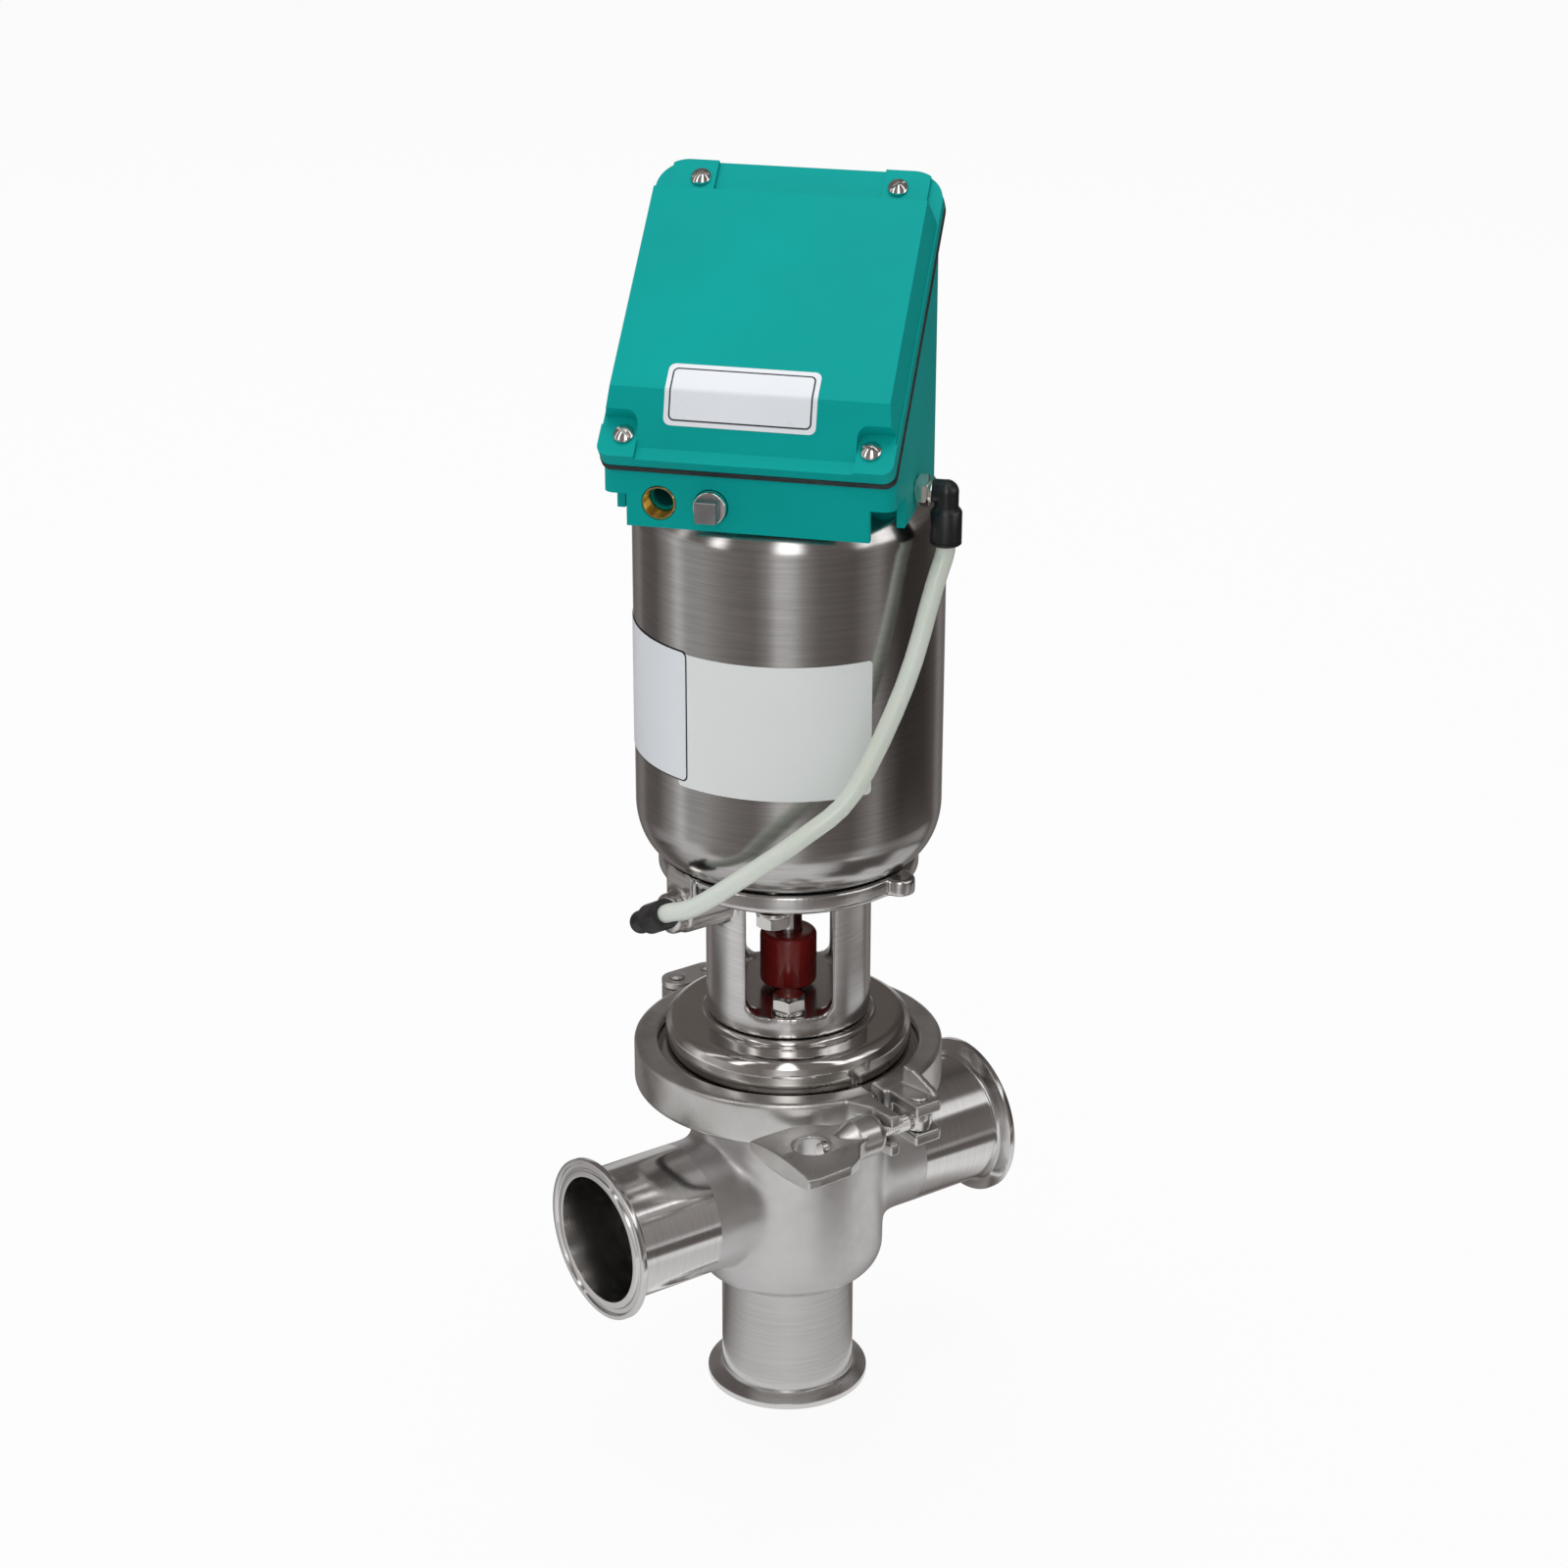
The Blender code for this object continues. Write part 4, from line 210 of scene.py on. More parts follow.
painted_reflection_look = bpy.data.materials.new("cards")
painted_reflection_look.use_nodes = True
painted_reflection_look.node_tree.nodes.remove(painted_reflection_look.node_tree.nodes["Principled BSDF"])
card_place = add(painted_reflection_look, "ShaderNodeTexCoord")
card_turn = add(painted_reflection_look, "ShaderNodeMapping")
card_turn.inputs["Rotation"].default_value = (0, 0, -camera_side)
around = add(painted_reflection_look, "ShaderNodeTexGradient", gradient_type="RADIAL")
height = add(painted_reflection_look, "ShaderNodeSeparateXYZ")
card_glow = add(painted_reflection_look, "ShaderNodeEmission")
join_sockets(painted_reflection_look, (card_place.outputs["Object"], card_turn.inputs["Vector"]),
             (card_turn.outputs[0], around.inputs["Vector"]), (card_place.outputs["Object"], height.inputs[0]))
shown = None
for span, front_strips in CARD_ZONES:
    left_end, right_end = DARK_BEHIND if span and span[0] > 0.2 else (BEHIND_LEFT, BEHIND_RIGHT)
    strips = left_end + front_strips + right_end
    ramp = add(painted_reflection_look, "ShaderNodeValToRGB")
    stops = ramp.color_ramp.elements
    while len(stops) < len(strips):
        stops.new(0.5)
    for stop, (angle, level) in zip(stops, strips):
        stop.position = angle / 360 + 0.5
        stop.color = card_colour(level)
    join_sockets(painted_reflection_look, (around.outputs["Factor" if "Factor" in around.outputs else "Fac"], ramp.inputs[0]))
    if span is None:
        shown = ramp.outputs[0]
        continue
    rise = add(painted_reflection_look, "ShaderNodeMapRange", interpolation_type="SMOOTHSTEP")
    rise.inputs["From Min"].default_value, rise.inputs["From Max"].default_value = span
    card_mix = add(painted_reflection_look, "ShaderNodeMix", data_type="RGBA")
    join_sockets(painted_reflection_look, (height.outputs["Z"], rise.inputs["Value"]), (rise.outputs[0], card_mix.inputs["Factor"]),
                 (shown, card_mix.inputs[6]), (ramp.outputs[0], card_mix.inputs[7]))
    shown = card_mix.outputs[2]
join_sockets(painted_reflection_look, (shown, card_glow.inputs["Color"]),
             (card_glow.outputs[0], painted_reflection_look.node_tree.nodes["Material Output"].inputs["Surface"]))


def spun(points, steps=144, corner=0.0, place=Matrix.Identity(4)):
    """A shape turned once round Z from (radius, height) points, with its corners rounded this much."""
    bm = bmesh.new()
    rim = [bm.verts.new((radius, 0, height)) for radius, height in points]
    for start, end in zip(rim, rim[1:]):
        bm.edges.new((start, end))
    if min(radius for radius, _ in points) > 0:
        bm.edges.new((rim[-1], rim[0]))
    if corner:
        inner = [vert for vert in bm.verts if len(vert.link_edges) == 2]
        bmesh.ops.bevel(bm, geom=inner, offset=corner, offset_type="OFFSET", affect="VERTICES", segments=3,
                        profile=0.5, material=-1, clamp_overlap=True)
    bmesh.ops.spin(bm, geom=bm.verts[:] + bm.edges[:], cent=(0, 0, 0), axis=(0, 0, 1), angle=math.tau,
                   steps=steps, use_merge=True)
    bmesh.ops.remove_doubles(bm, verts=bm.verts, dist=0.000002)
    bmesh.ops.recalc_face_normals(bm, faces=bm.faces)
    bmesh.ops.transform(bm, matrix=place, verts=bm.verts)
    return bm


# The cards glow, and only glossy rays see them, so on the metal they are painted reflections and highlights.
cards = as_object("cards", spun([(0.046, 0.001), (0.16, 0.010), (0.50, 0.050), (0.62, 0.070), (0.62, 0.75), (0.45, 1.05),
                                   (0, 1.15)], 96), painted_reflection_look)
cards.visible_camera = False
cards.visible_diffuse = False
cards.visible_transmission = False
cards.visible_volume_scatter = False
cards.visible_shadow = False

# Ferrule tubes. Three lengths of polished stainless tube, each with a clamp ferrule turned on its end.
# They are welded to the valve body, and the weld is ground flush.
TUBE_RADIUS = 0.03175
TUBE_BORE = 0.0301
FERRULE_RADIUS = 0.0387
RUN_HALF = 0.1085
RUN_HEIGHT = 0.1076
STUB_HALF = 0.0600
WELD_HEIGHT = 0.0607
GAP = 0.0003
SEAM = 0.00003


def new_look(name, metallic, roughness, colour, **sockets):
    """A Principled material with these constants on its own sockets."""
    look = bpy.data.materials.new(name)
    look.use_nodes = True
    shader = look.node_tree.nodes["Principled BSDF"]
    shader.inputs["Base Color"].default_value = (*colour, 1)
    shader.inputs["Metallic"].default_value = metallic
    shader.inputs["Roughness"].default_value = roughness
    for socket, value in sockets.items():
        shader.inputs[socket.replace("_", " ")].default_value = value
    return look


def grain(look, scale, detail=3.0, stretch=(1, 1, 1), roughness=0.55):
    """Noise in the valve's own space, this fine, and stretched along an axis where brushed."""
    place = add(look, "ShaderNodeTexCoord")
    mapping = add(look, "ShaderNodeMapping")
    mapping.inputs["Scale"].default_value = stretch
    noise = add(look, "ShaderNodeTexNoise")
    noise.inputs["Scale"].default_value = scale
    noise.inputs["Detail"].default_value = detail
    noise.inputs["Roughness"].default_value = roughness
    join_sockets(look, (place.outputs["Object"], mapping.inputs["Vector"]), (mapping.outputs[0], noise.inputs["Vector"]))
    return noise.outputs[0]


def vary(look, source, socket, low, high, from_low=0.3, from_high=0.7):
    """Lets a grain move a number of the shader, such as its roughness, between two values."""
    spread = add(look, "ShaderNodeMapRange")
    spread.inputs["From Min"].default_value = from_low
    spread.inputs["From Max"].default_value = from_high
    spread.inputs["To Min"].default_value = low
    spread.inputs["To Max"].default_value = high
    join_sockets(look, (source, spread.inputs["Value"]),
                 (spread.outputs[0], look.node_tree.nodes["Principled BSDF"].inputs[socket]))


def tint(look, source, dark, light, from_low=0.3, from_high=0.7):
    """Lets a grain move the colour between two tones."""
    ramp = add(look, "ShaderNodeValToRGB")
    low, high = ramp.color_ramp.elements
    low.position, high.position = from_low, from_high
    low.color, high.color = (*dark, 1), (*light, 1)
    join_sockets(look, (source, ramp.inputs[0]),
                 (ramp.outputs[0], look.node_tree.nodes["Principled BSDF"].inputs["Base Color"]))


def relief(look, *layers):
    """Stacks bumps from grains, each with its depth in metres and its strength."""
    normal = None
    for source, depth, strength in layers:
        bump = add(look, "ShaderNodeBump")
        bump.inputs["Strength"].default_value = strength
        bump.inputs["Distance"].default_value = depth
        join_sockets(look, (source, bump.inputs["Height"]))
        if normal:
            join_sockets(look, (normal, bump.inputs["Normal"]))
        normal = bump.outputs[0]
    join_sockets(look, (normal, look.node_tree.nodes["Principled BSDF"].inputs["Normal"]))


def turned_steel(name, along, dark, light, smooth, rough, lines=0.25):
    """Steel with fine lines round one axis in its tone and relief, and slow cloudy changes of its roughness."""
    look = new_look(name, 1.0, smooth, light)
    stretch = tuple(12 if axis == along else 0.5 for axis in "xyz")
    fine = grain(look, 60, 2, stretch)
    clouds = grain(look, 16, 2)
    tint(look, fine, dark, light, 0.25, 0.75)
    vary(look, clouds, "Roughness", smooth, rough)
    relief(look, (fine, 0.00002, lines))
    return look


run_steel = turned_steel("polished_run_tube", "x", (0.64, 0.63, 0.62), (0.72, 0.71, 0.70), 0.11, 0.17, 0.1)
drop_steel = turned_steel("polished_drop_tube", "z", (0.55, 0.54, 0.53), (0.63, 0.62, 0.61), 0.20, 0.28, 0.2)


def piece(name, bm, look, slot, body, *nodes, angle=32):
    """A shown piece of the valve: smooth but for its real edges, riding on a body in place of its solids."""
    made = as_object(name, bm, look)
    made.data.shade_smooth()
    made.data.set_sharp_from_angle(angle=math.radians(angle))
    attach(made, body)
    if nodes:
        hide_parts(*nodes)
    return made


def ferrule(length, place):
    """A tube that stands on its ferrule's face: rim, tapered back, gasket groove and bore."""
    whole = spun([
        (TUBE_RADIUS, length + 0.002), (TUBE_RADIUS, 0.0068), (0.0322, 0.0058), (0.0334, 0.0050),
        (FERRULE_RADIUS, 0.0029), (FERRULE_RADIUS, 0), (0.0366, 0), (0.0360, 0.0016), (0.0338, 0.0016), (0.0332, 0),
        (TUBE_BORE, 0), (TUBE_BORE, length + 0.002),
    ], 160, 0.00028)
    cut = bmesh.ops.bisect_plane(whole, geom=whole.verts[:] + whole.edges[:] + whole.faces[:],
                                 plane_co=(0, 0, length), plane_no=(0, 0, 1), clear_outer=True)
    rims = [item for item in cut["geom_cut"] if isinstance(item, bmesh.types.BMEdge)]
    bmesh.ops.bridge_loops(whole, edges=rims)
    bmesh.ops.recalc_face_normals(whole, faces=whole.faces)
    bmesh.ops.transform(whole, matrix=place, verts=whole.verts)
    return whole


along_left = Matrix.Translation((-RUN_HALF, 0, RUN_HEIGHT)) @ Matrix.Rotation(math.pi / 2, 4, "Y")
along_right = Matrix.Translation((RUN_HALF, 0, RUN_HEIGHT)) @ Matrix.Rotation(-math.pi / 2, 4, "Y")
run_length = RUN_HALF - STUB_HALF - SEAM
piece("left_ferrule_tube", ferrule(run_length, along_left), run_steel, "polished_steel", "valve_body",
      "left_port_ferrule")
piece("right_ferrule_tube", ferrule(run_length, along_right), run_steel, "polished_steel", "valve_body",
      "right_port_ferrule")
piece("bottom_ferrule_tube", ferrule(WELD_HEIGHT - SEAM, Matrix.Identity(4)), drop_steel, "polished_steel",
      "valve_body", "bottom_port_ferrule")

# Body. A stainless casting, bead blasted and then buffed: a cup with the run through it, a seat in its
# floor and a clamp flange round its mouth. The run flows into the cup in wide cast fillets.
BODY_RADIUS = 0.0458
FLANGE_RADIUS = 0.0664
CLAMP_HEIGHT = 0.1722
GASKET_HALF = 0.0008
body_top = CLAMP_HEIGHT - GASKET_HALF - GAP
graph_of = bpy.context.evaluated_depsgraph_get


def arc(centre, radius, start, end, steps):
    """Points along an arc in a plane, by angles in degrees."""
    angles = [math.radians(start + (end - start) * i / steps) for i in range(steps + 1)]
    return [(centre[0] + radius * math.cos(a), centre[1] + radius * math.sin(a)) for a in angles]


def worked(bm, *tools, how="DIFFERENCE", voxel=0.0):
    """A shape after exact Booleans with these tools, and remeshed evenly where a voxel size is given."""
    blank = as_object("blank", bm, None)
    bits = [as_object("tool", tool, None) for tool in tools]
    for bit in bits:
        step = blank.modifiers.new("step", "BOOLEAN")
        step.operation, step.solver, step.object = how, "EXACT", bit
    if voxel:
        remesh = blank.modifiers.new("remesh", "REMESH")
        remesh.mode, remesh.voxel_size = "VOXEL", voxel
    bpy.context.view_layer.update()
    mesh = bpy.data.meshes.new_from_object(blank.evaluated_get(graph_of()))
    for used in [blank, *bits]:
        bpy.data.objects.remove(used)
    result = bmesh.new()
    result.from_mesh(mesh)
    bpy.data.meshes.remove(mesh)
    return result


def eased(bm, passes, near=None):
    """Relaxes a remeshed shape a little, everywhere or where near(point) holds."""
    verts = [vert for vert in bm.verts if near is None or near(vert.co)]
    for _ in range(passes):
        bmesh.ops.smooth_vert(bm, verts=verts, factor=0.5, use_axis_x=True, use_axis_y=True, use_axis_z=True)
    return bm


def rod(radius, low, high, steps=96, place=Matrix.Identity(4), corner=0.0):
    return spun([(0, high), (radius, high), (radius, low), (0, low)], steps, corner, place)


def block(low, high, place=Matrix.Identity(4)):
    bm = bmesh.new()
    size = Vector(high) - Vector(low)
    middle = (Vector(high) + Vector(low)) / 2
    bmesh.ops.create_cube(bm, size=1, matrix=place @ Matrix.Translation(middle) @ Matrix.Diagonal((*size, 1)))
    return bm


def by_the_run(width):
    """Whether a point is within this width of the line where the run meets the cup."""
    def near(point):
        off_cup = abs(math.hypot(point.x, point.y) - BODY_RADIUS)
        off_run = abs(math.hypot(point.y, point.z - RUN_HEIGHT) - TUBE_RADIUS)
        return off_cup + off_run < width
    return near


cup = spun([(0, body_top), (FLANGE_RADIUS, body_top), (FLANGE_RADIUS, body_top - 0.003),
            (0.0590, body_top - 0.0057), (0.0590, 0.1606), (BODY_RADIUS, 0.1474)]
           + arc((BODY_RADIUS - 0.014, WELD_HEIGHT + 0.014), 0.014, 0, -90, 12) + [(0, WELD_HEIGHT)], 144)
run_barrel = rod(TUBE_RADIUS, -STUB_HALF - 0.005, STUB_HALF + 0.005, 144,
                 Matrix.Translation((0, 0, RUN_HEIGHT)) @ Matrix.Rotation(math.pi / 2, 4, "Y"))
casting = worked(cup, run_barrel, how="UNION", voxel=0.0013)
for reach, passes in ((0.014, 12), (0.011, 16), (0.008, 20)):
    eased(casting, passes, by_the_run(reach))
eased(casting, 2)
chamber = spun([(0, body_top + 0.004), (0.0418, body_top + 0.004), (0.0418, 0.0772), (0.0315, 0.0732),
                (0.0265, 0.0732), (0.0265, 0.0683), (TUBE_BORE, 0.0647), (TUBE_BORE, 0.0567), (0, 0.0567)], 96)
run_bore = rod(TUBE_BORE, -RUN_HALF, RUN_HALF, 96,
               Matrix.Translation((0, 0, RUN_HEIGHT)) @ Matrix.Rotation(math.pi / 2, 4, "Y"))
body_steel = new_look("buffed_casting", 1.0, 0.36, (0.62, 0.61, 0.60))
buffing = grain(body_steel, 26, 2, (1, 1, 1.6))
blasting = grain(body_steel, 240, 1)
tint(body_steel, buffing, (0.58, 0.57, 0.56), (0.64, 0.63, 0.63))
vary(body_steel, blasting, "Roughness", 0.33, 0.41)
relief(body_steel, (buffing, 0.0004, 0.05), (blasting, 0.00003, 0.06))
past_stubs = [block((min(side * STUB_HALF, side * 0.08), -0.04, 0.06), (max(side * STUB_HALF, side * 0.08), 0.04, 0.15))
              for side in (-1, 1)]
piece("valve_body_casting", worked(casting, chamber, run_bore, *past_stubs), body_steel, "cast_steel", "valve_body",
      "body_casting", angle=50)

# Plug, seal and stem. A turned plug with a black seal, on a polished stem that carries it up through
# the bonnet. They are inside the body, and only the stem shows in the yoke's windows.
STEM_RADIUS = 0.00635
stem_steel = turned_steel("ground_stem", "z", (0.62, 0.61, 0.59), (0.72, 0.71, 0.69), 0.10, 0.18, 0.1)
rubber = new_look("black_rubber", 0.0, 0.6, (0.012, 0.012, 0.012))
rubber_grain = grain(rubber, 300, 2)
vary(rubber, rubber_grain, "Roughness", 0.50, 0.72)
tint(rubber, grain(rubber, 60, 3), (0.008, 0.008, 0.009), (0.020, 0.020, 0.021))
relief(rubber, (rubber_grain, 0.00003, 0.1))


def from_solid(node):
    """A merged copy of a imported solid, where its shape is already right."""
    bm = bmesh.new()
    bm.from_mesh(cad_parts[node].data)
    bmesh.ops.remove_doubles(bm, verts=bm.verts, dist=0.000002)
    return bm


piece("plug_turned", from_solid("valve_plug"), stem_steel, "polished_steel", "stem_assembly", "valve_plug")
piece("plug_seal_ring", from_solid("plug_seal"), rubber, "black_rubber", "stem_assembly", "plug_seal")


def round_like(name, node, radius, look, slot, body, bore=0.0, steps=72, corner=0.0003):
    """A finer round bar or bush in the place and height of a packed one."""
    low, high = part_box(node)
    profile = [(bore, high.z), (radius, high.z), (radius, low.z), (bore, low.z)]
    return piece(name, spun(profile, steps, corner), look, slot, body, node)


round_like("lower_stem", "valve_stem", STEM_RADIUS, stem_steel, "polished_steel", "stem_assembly")

# Bonnet. Turned from plate and polished to a mirror: a flange for the clamp, a tall wall, a rounded
# shoulder and a low step that the yoke stands on, with a guide bush and a seal for the stem.
BONNET_TOP = 0.1986
BONNET_WALL = 0.0576
YOKE_RADIUS = 0.0384
bonnet_low = CLAMP_HEIGHT + GASKET_HALF + GAP
bonnet_steel = turned_steel("polished_bonnet", "z", (0.62, 0.60, 0.58), (0.70, 0.68, 0.66), 0.06, 0.11, 0.08)
bonnet = spun([
    (0.0105, BONNET_TOP)] + arc((YOKE_RADIUS + 0.0032, BONNET_TOP), 0.0022, 180, 270, 8)
    + arc((BONNET_WALL - 0.007, BONNET_TOP - 0.0092), 0.007, 90, 0, 10)
    + [(BONNET_WALL, bonnet_low + 0.0062), (FLANGE_RADIUS, bonnet_low + 0.0030), (FLANGE_RADIUS, bonnet_low),
       (0.0420, bonnet_low), (0.0420, 0.1870), (0.0185, 0.1870), (0.0185, bonnet_low + 0.0020),
       (0.0105, bonnet_low + 0.0020)], 192)
piece("bonnet_turned", bonnet, bonnet_steel, "polished_steel", "valve_body", "bonnet")
bush_white = new_look("white_bush", 0.0, 0.45, (0.80, 0.79, 0.74))
vary(bush_white, grain(bush_white, 60, 2), "Roughness", 0.38, 0.52)
round_like("stem_guide", "stem_bush", 0.0102, bush_white, "white_polymer", "valve_body", STEM_RADIUS + GAP)
round_like("stem_wiper", "stem_seal", 0.0102, rubber, "black_rubber", "valve_body", STEM_RADIUS + GAP)
round_like("flange_gasket", "bonnet_gasket", 0.0644, rubber, "black_rubber", "valve_body", 0.0455, 144)

# Yoke. One casting, linished on the outside: a tube with two tall windows, a floor that bolts down on the
# bonnet, a round plate under the cylinder with two ears, and a lug with a boss for the air port.
YOKE_WALL = 0.0062
YOKE_FLOOR = 0.2090
YOKE_TURN = math.radians(-125)
PLATE_LOW = 0.2715
PLATE_HIGH = 0.2807
PLATE_RADIUS = 0.0600
PORT_HEIGHT = 0.2627
PORT_REACH = 0.0680
WINDOW_HALF = 0.0198
WINDOW_TOP = 0.2680
WINDOW_CORNER = 0.0070
CAN_RADIUS = 0.0700
CAN_CORNER = 0.0250
CAN_TOP = 0.4650
CAN_LOW = PLATE_HIGH + GAP
CAN_FOOT = 0.0540


def turn_about(axis, degrees):
    return Matrix.Rotation(math.radians(degrees), 4, axis)


def can_foot(gap):
    """The can's lower corner, from its wall in to its flat bottom, drawn fuller than a quarter circle."""
    return [(CAN_FOOT + (x - CAN_FOOT) * (CAN_RADIUS - CAN_FOOT + gap) / CAN_CORNER, y)
            for x, y in arc((CAN_FOOT, CAN_LOW + CAN_CORNER), CAN_CORNER + gap, 0, -88, 20)]


def prism(outline, low, high, place=Matrix.Identity(4)):
    """A flat outline stood up from low to high."""
    bm = bmesh.new()
    foot = bm.faces.new([bm.verts.new((x, y, low)) for x, y in outline])
    grown = bmesh.ops.extrude_face_region(bm, geom=[foot])
    bmesh.ops.translate(bm, verts=[item for item in grown["geom"] if isinstance(item, bmesh.types.BMVert)],
                        vec=(0, 0, high - low))
    bmesh.ops.recalc_face_normals(bm, faces=bm.faces)
    bmesh.ops.transform(bm, matrix=place, verts=bm.verts)
    return bm


stem_hole = STEM_RADIUS + 0.0020
yoke_bore = YOKE_RADIUS - YOKE_WALL
yoke = spun([
    (PLATE_RADIUS - 0.0010, PLATE_HIGH), (PLATE_RADIUS, PLATE_HIGH - 0.0010), (PLATE_RADIUS, PLATE_LOW + 0.0015),
    (PLATE_RADIUS - 0.0015, PLATE_LOW), (YOKE_RADIUS + 0.0040, PLATE_LOW)]
    + arc((YOKE_RADIUS + 0.0040, PLATE_LOW - 0.0040), 0.0040, 90, 180, 6)
    + [(YOKE_RADIUS, BONNET_TOP + GAP), (stem_hole, BONNET_TOP + GAP), (stem_hole, YOKE_FLOOR),
       (yoke_bore - 0.0015, YOKE_FLOOR), (yoke_bore, YOKE_FLOOR + 0.0015), (yoke_bore, PLATE_LOW - 0.0015),
       (yoke_bore - 0.0015, PLATE_LOW), (stem_hole, PLATE_LOW), (stem_hole, PLATE_HIGH)], 144)
to_port = Matrix.Translation((0, 0, PORT_HEIGHT)) @ turn_about("Z", -90) @ turn_about("X", 90)
lug = prism(arc((0, 0), 0.0105, 180, 360, 16) + [(0.0105, 0.0188), (0.0075, 0.0218), (-0.0075, 0.0218),
                                                 (-0.0105, 0.0188)], 0.0353, 0.0608, to_port)
boss = spun([(0, PORT_REACH), (0.0085, PORT_REACH), (0.0095, PORT_REACH - 0.0010), (0.0095, 0.0353), (0, 0.0353)],
            64, 0, to_port)
ear = prism([(PLATE_RADIUS - 0.010, -0.0070)] + arc((0.0610, 0), 0.0070, -90, 90, 16)
            + [(PLATE_RADIUS - 0.010, 0.0070)], PLATE_LOW + 0.0007, PLATE_HIGH - 0.0006, turn_about("Z", -70))
under_can = spun([(0, CAN_TOP), (CAN_RADIUS + GAP, CAN_TOP)] + can_foot(GAP) + [(0, PLATE_HIGH)], 144)
rise = WINDOW_TOP - YOKE_FLOOR
inset = WINDOW_HALF - WINDOW_CORNER
window = prism(arc((inset, WINDOW_CORNER), WINDOW_CORNER, -90, 0, 8)
               + arc((inset, rise - WINDOW_CORNER), WINDOW_CORNER, 0, 90, 8)
               + arc((-inset, rise - WINDOW_CORNER), WINDOW_CORNER, 90, 180, 8)
               + arc((-inset, WINDOW_CORNER), WINDOW_CORNER, 180, 270, 8), -0.05, 0.05,
               Matrix.Translation((0, 0, YOKE_FLOOR)) @ Matrix.Rotation(YOKE_TURN + math.pi / 2, 4, "Z")
               @ turn_about("X", 90))
yoke = worked(yoke, ear, lug, boss, how="UNION")
yoke = eased(worked(worked(yoke, under_can, window), block((0, 0, 0), (0, 0, 0.001)), voxel=0.00095), 3)
port_thread = rod(0.0049, 0.052, 0.075, 48, to_port)
yoke_steel = turned_steel("linished_yoke", "z", (0.58, 0.57, 0.56), (0.67, 0.66, 0.65), 0.16, 0.23, 0.15)
piece("yoke_casting", worked(yoke, port_thread), yoke_steel, "cast_steel", "valve_body", "yoke", angle=50)

# Fasteners of the yoke. Chamfered hexagon bolts with split washers hold its floor to the bonnet, and two
# more hold the cylinder up on the plate.
HEX_FLATS = 0.0143
bolt_steel = new_look("zinc_nickel", 1.0, 0.24, (0.70, 0.69, 0.66))
bolt_clouds = grain(bolt_steel, 90, 2)
tint(bolt_steel, bolt_clouds, (0.64, 0.63, 0.60), (0.76, 0.75, 0.73))
vary(bolt_steel, bolt_clouds, "Roughness", 0.12, 0.22)
relief(bolt_steel, (bolt_clouds, 0.0001, 0.05))


def hexagon(flats, low, high, place=Matrix.Identity(4), chamfer=0.0009, both=False):
    """A hexagon bar with its corners turned off at the top, or at both ends."""
    corner = flats / math.sqrt(3)
    bar = prism(arc((0, 0), corner, 0, 300, 5), low, high)
    foot = [(corner + 0.002, low)] if not both else [(corner + 0.0002, low + chamfer), (corner - chamfer * 1.7, low)]
    cone = spun([(0, high), (corner - chamfer * 1.7, high), (corner + 0.0002, high - chamfer), *foot, (0, low)], 96)
    bm = worked(bar, cone, how="INTERSECT")
    bmesh.ops.transform(bm, matrix=place, verts=bm.verts)
    return bm


def edged(made, width, segments=2, angle=28):
    """Breaks the sharp edges of a piece with a small live bevel."""
    bevel = made.modifiers.new("broken_edges", "BEVEL")
    bevel.width = width
    bevel.segments = segments
    bevel.limit_method = "ANGLE"
    bevel.angle_limit = math.radians(angle)
    bevel.harden_normals = True
    return made


for label, radius, turn, seat, length, tilt in (
        ("yoke_bolt_front", 0.0283, YOKE_TURN, YOKE_FLOOR, 0.0180, 0),
        ("yoke_bolt_rear", 0.0283, YOKE_TURN + math.pi, YOKE_FLOOR, 0.0180, 0),
        ("plate_bolt_front", 0.0520, math.radians(-133), PLATE_LOW, 0.0150, 180),
        ("plate_bolt_rear", 0.0520, math.radians(47), PLATE_LOW, 0.0150, 180)):
    stand = (Matrix.Translation((radius * math.cos(turn), radius * math.sin(turn), seat))
             @ Matrix.Rotation(turn, 4, "Z") @ turn_about("X", tilt))
    head_low = 0.0018 + 2 * GAP
    bolt = worked(hexagon(HEX_FLATS, head_low, head_low + 0.0056, stand), rod(0.004, -length, head_low + 0.003, 48, stand),
                  how="UNION")
    piece(label + "_forged", bolt, bolt_steel, "nickel", "valve_body", label)
    ring = spun([(0.0080, 0.0021), (0.0080, GAP), (0.0043, GAP), (0.0043, 0.0021)], 72, 0.0002, stand)
    if "yoke" in label:
        ring = worked(ring, block((0.002, -0.0005, -0.001), (0.016, 0.0005, 0.01), stand @ turn_about("Y", 20)))
    washer = label.replace("yoke_bolt", "lock_washer").replace("plate_bolt", "plate_washer")
    piece(washer + "_pressed", ring, bolt_steel, "nickel", "valve_body", washer)

# Coupling sleeve. Dark red cast urethane pushed over the joint of the two stems, glossy and a little
# see-through at its edges.
urethane = new_look("red_urethane", 0.0, 0.16, (0.20, 0.012, 0.011), Coat_Weight=0.2, Subsurface_Weight=0.15,
                    Subsurface_Scale=0.003)
tint(urethane, grain(urethane, 60, 2), (0.17, 0.010, 0.009), (0.24, 0.016, 0.014))
vary(urethane, grain(urethane, 80, 2), "Roughness", 0.14, 0.24)
relief(urethane, (grain(urethane, 80, 1), 0.0003, 0.06))
coupling = spun(arc((0.0107, 0.2350), 0.0025, 90, 0, 8) + arc((0.0107, 0.2137), 0.0025, 0, -90, 8)
                + [(0.00665, 0.2112), (0.00665, 0.2375)], 96)
piece("coupling_sleeve", coupling, urethane, "red_urethane", "stem_assembly", "stem_coupling")

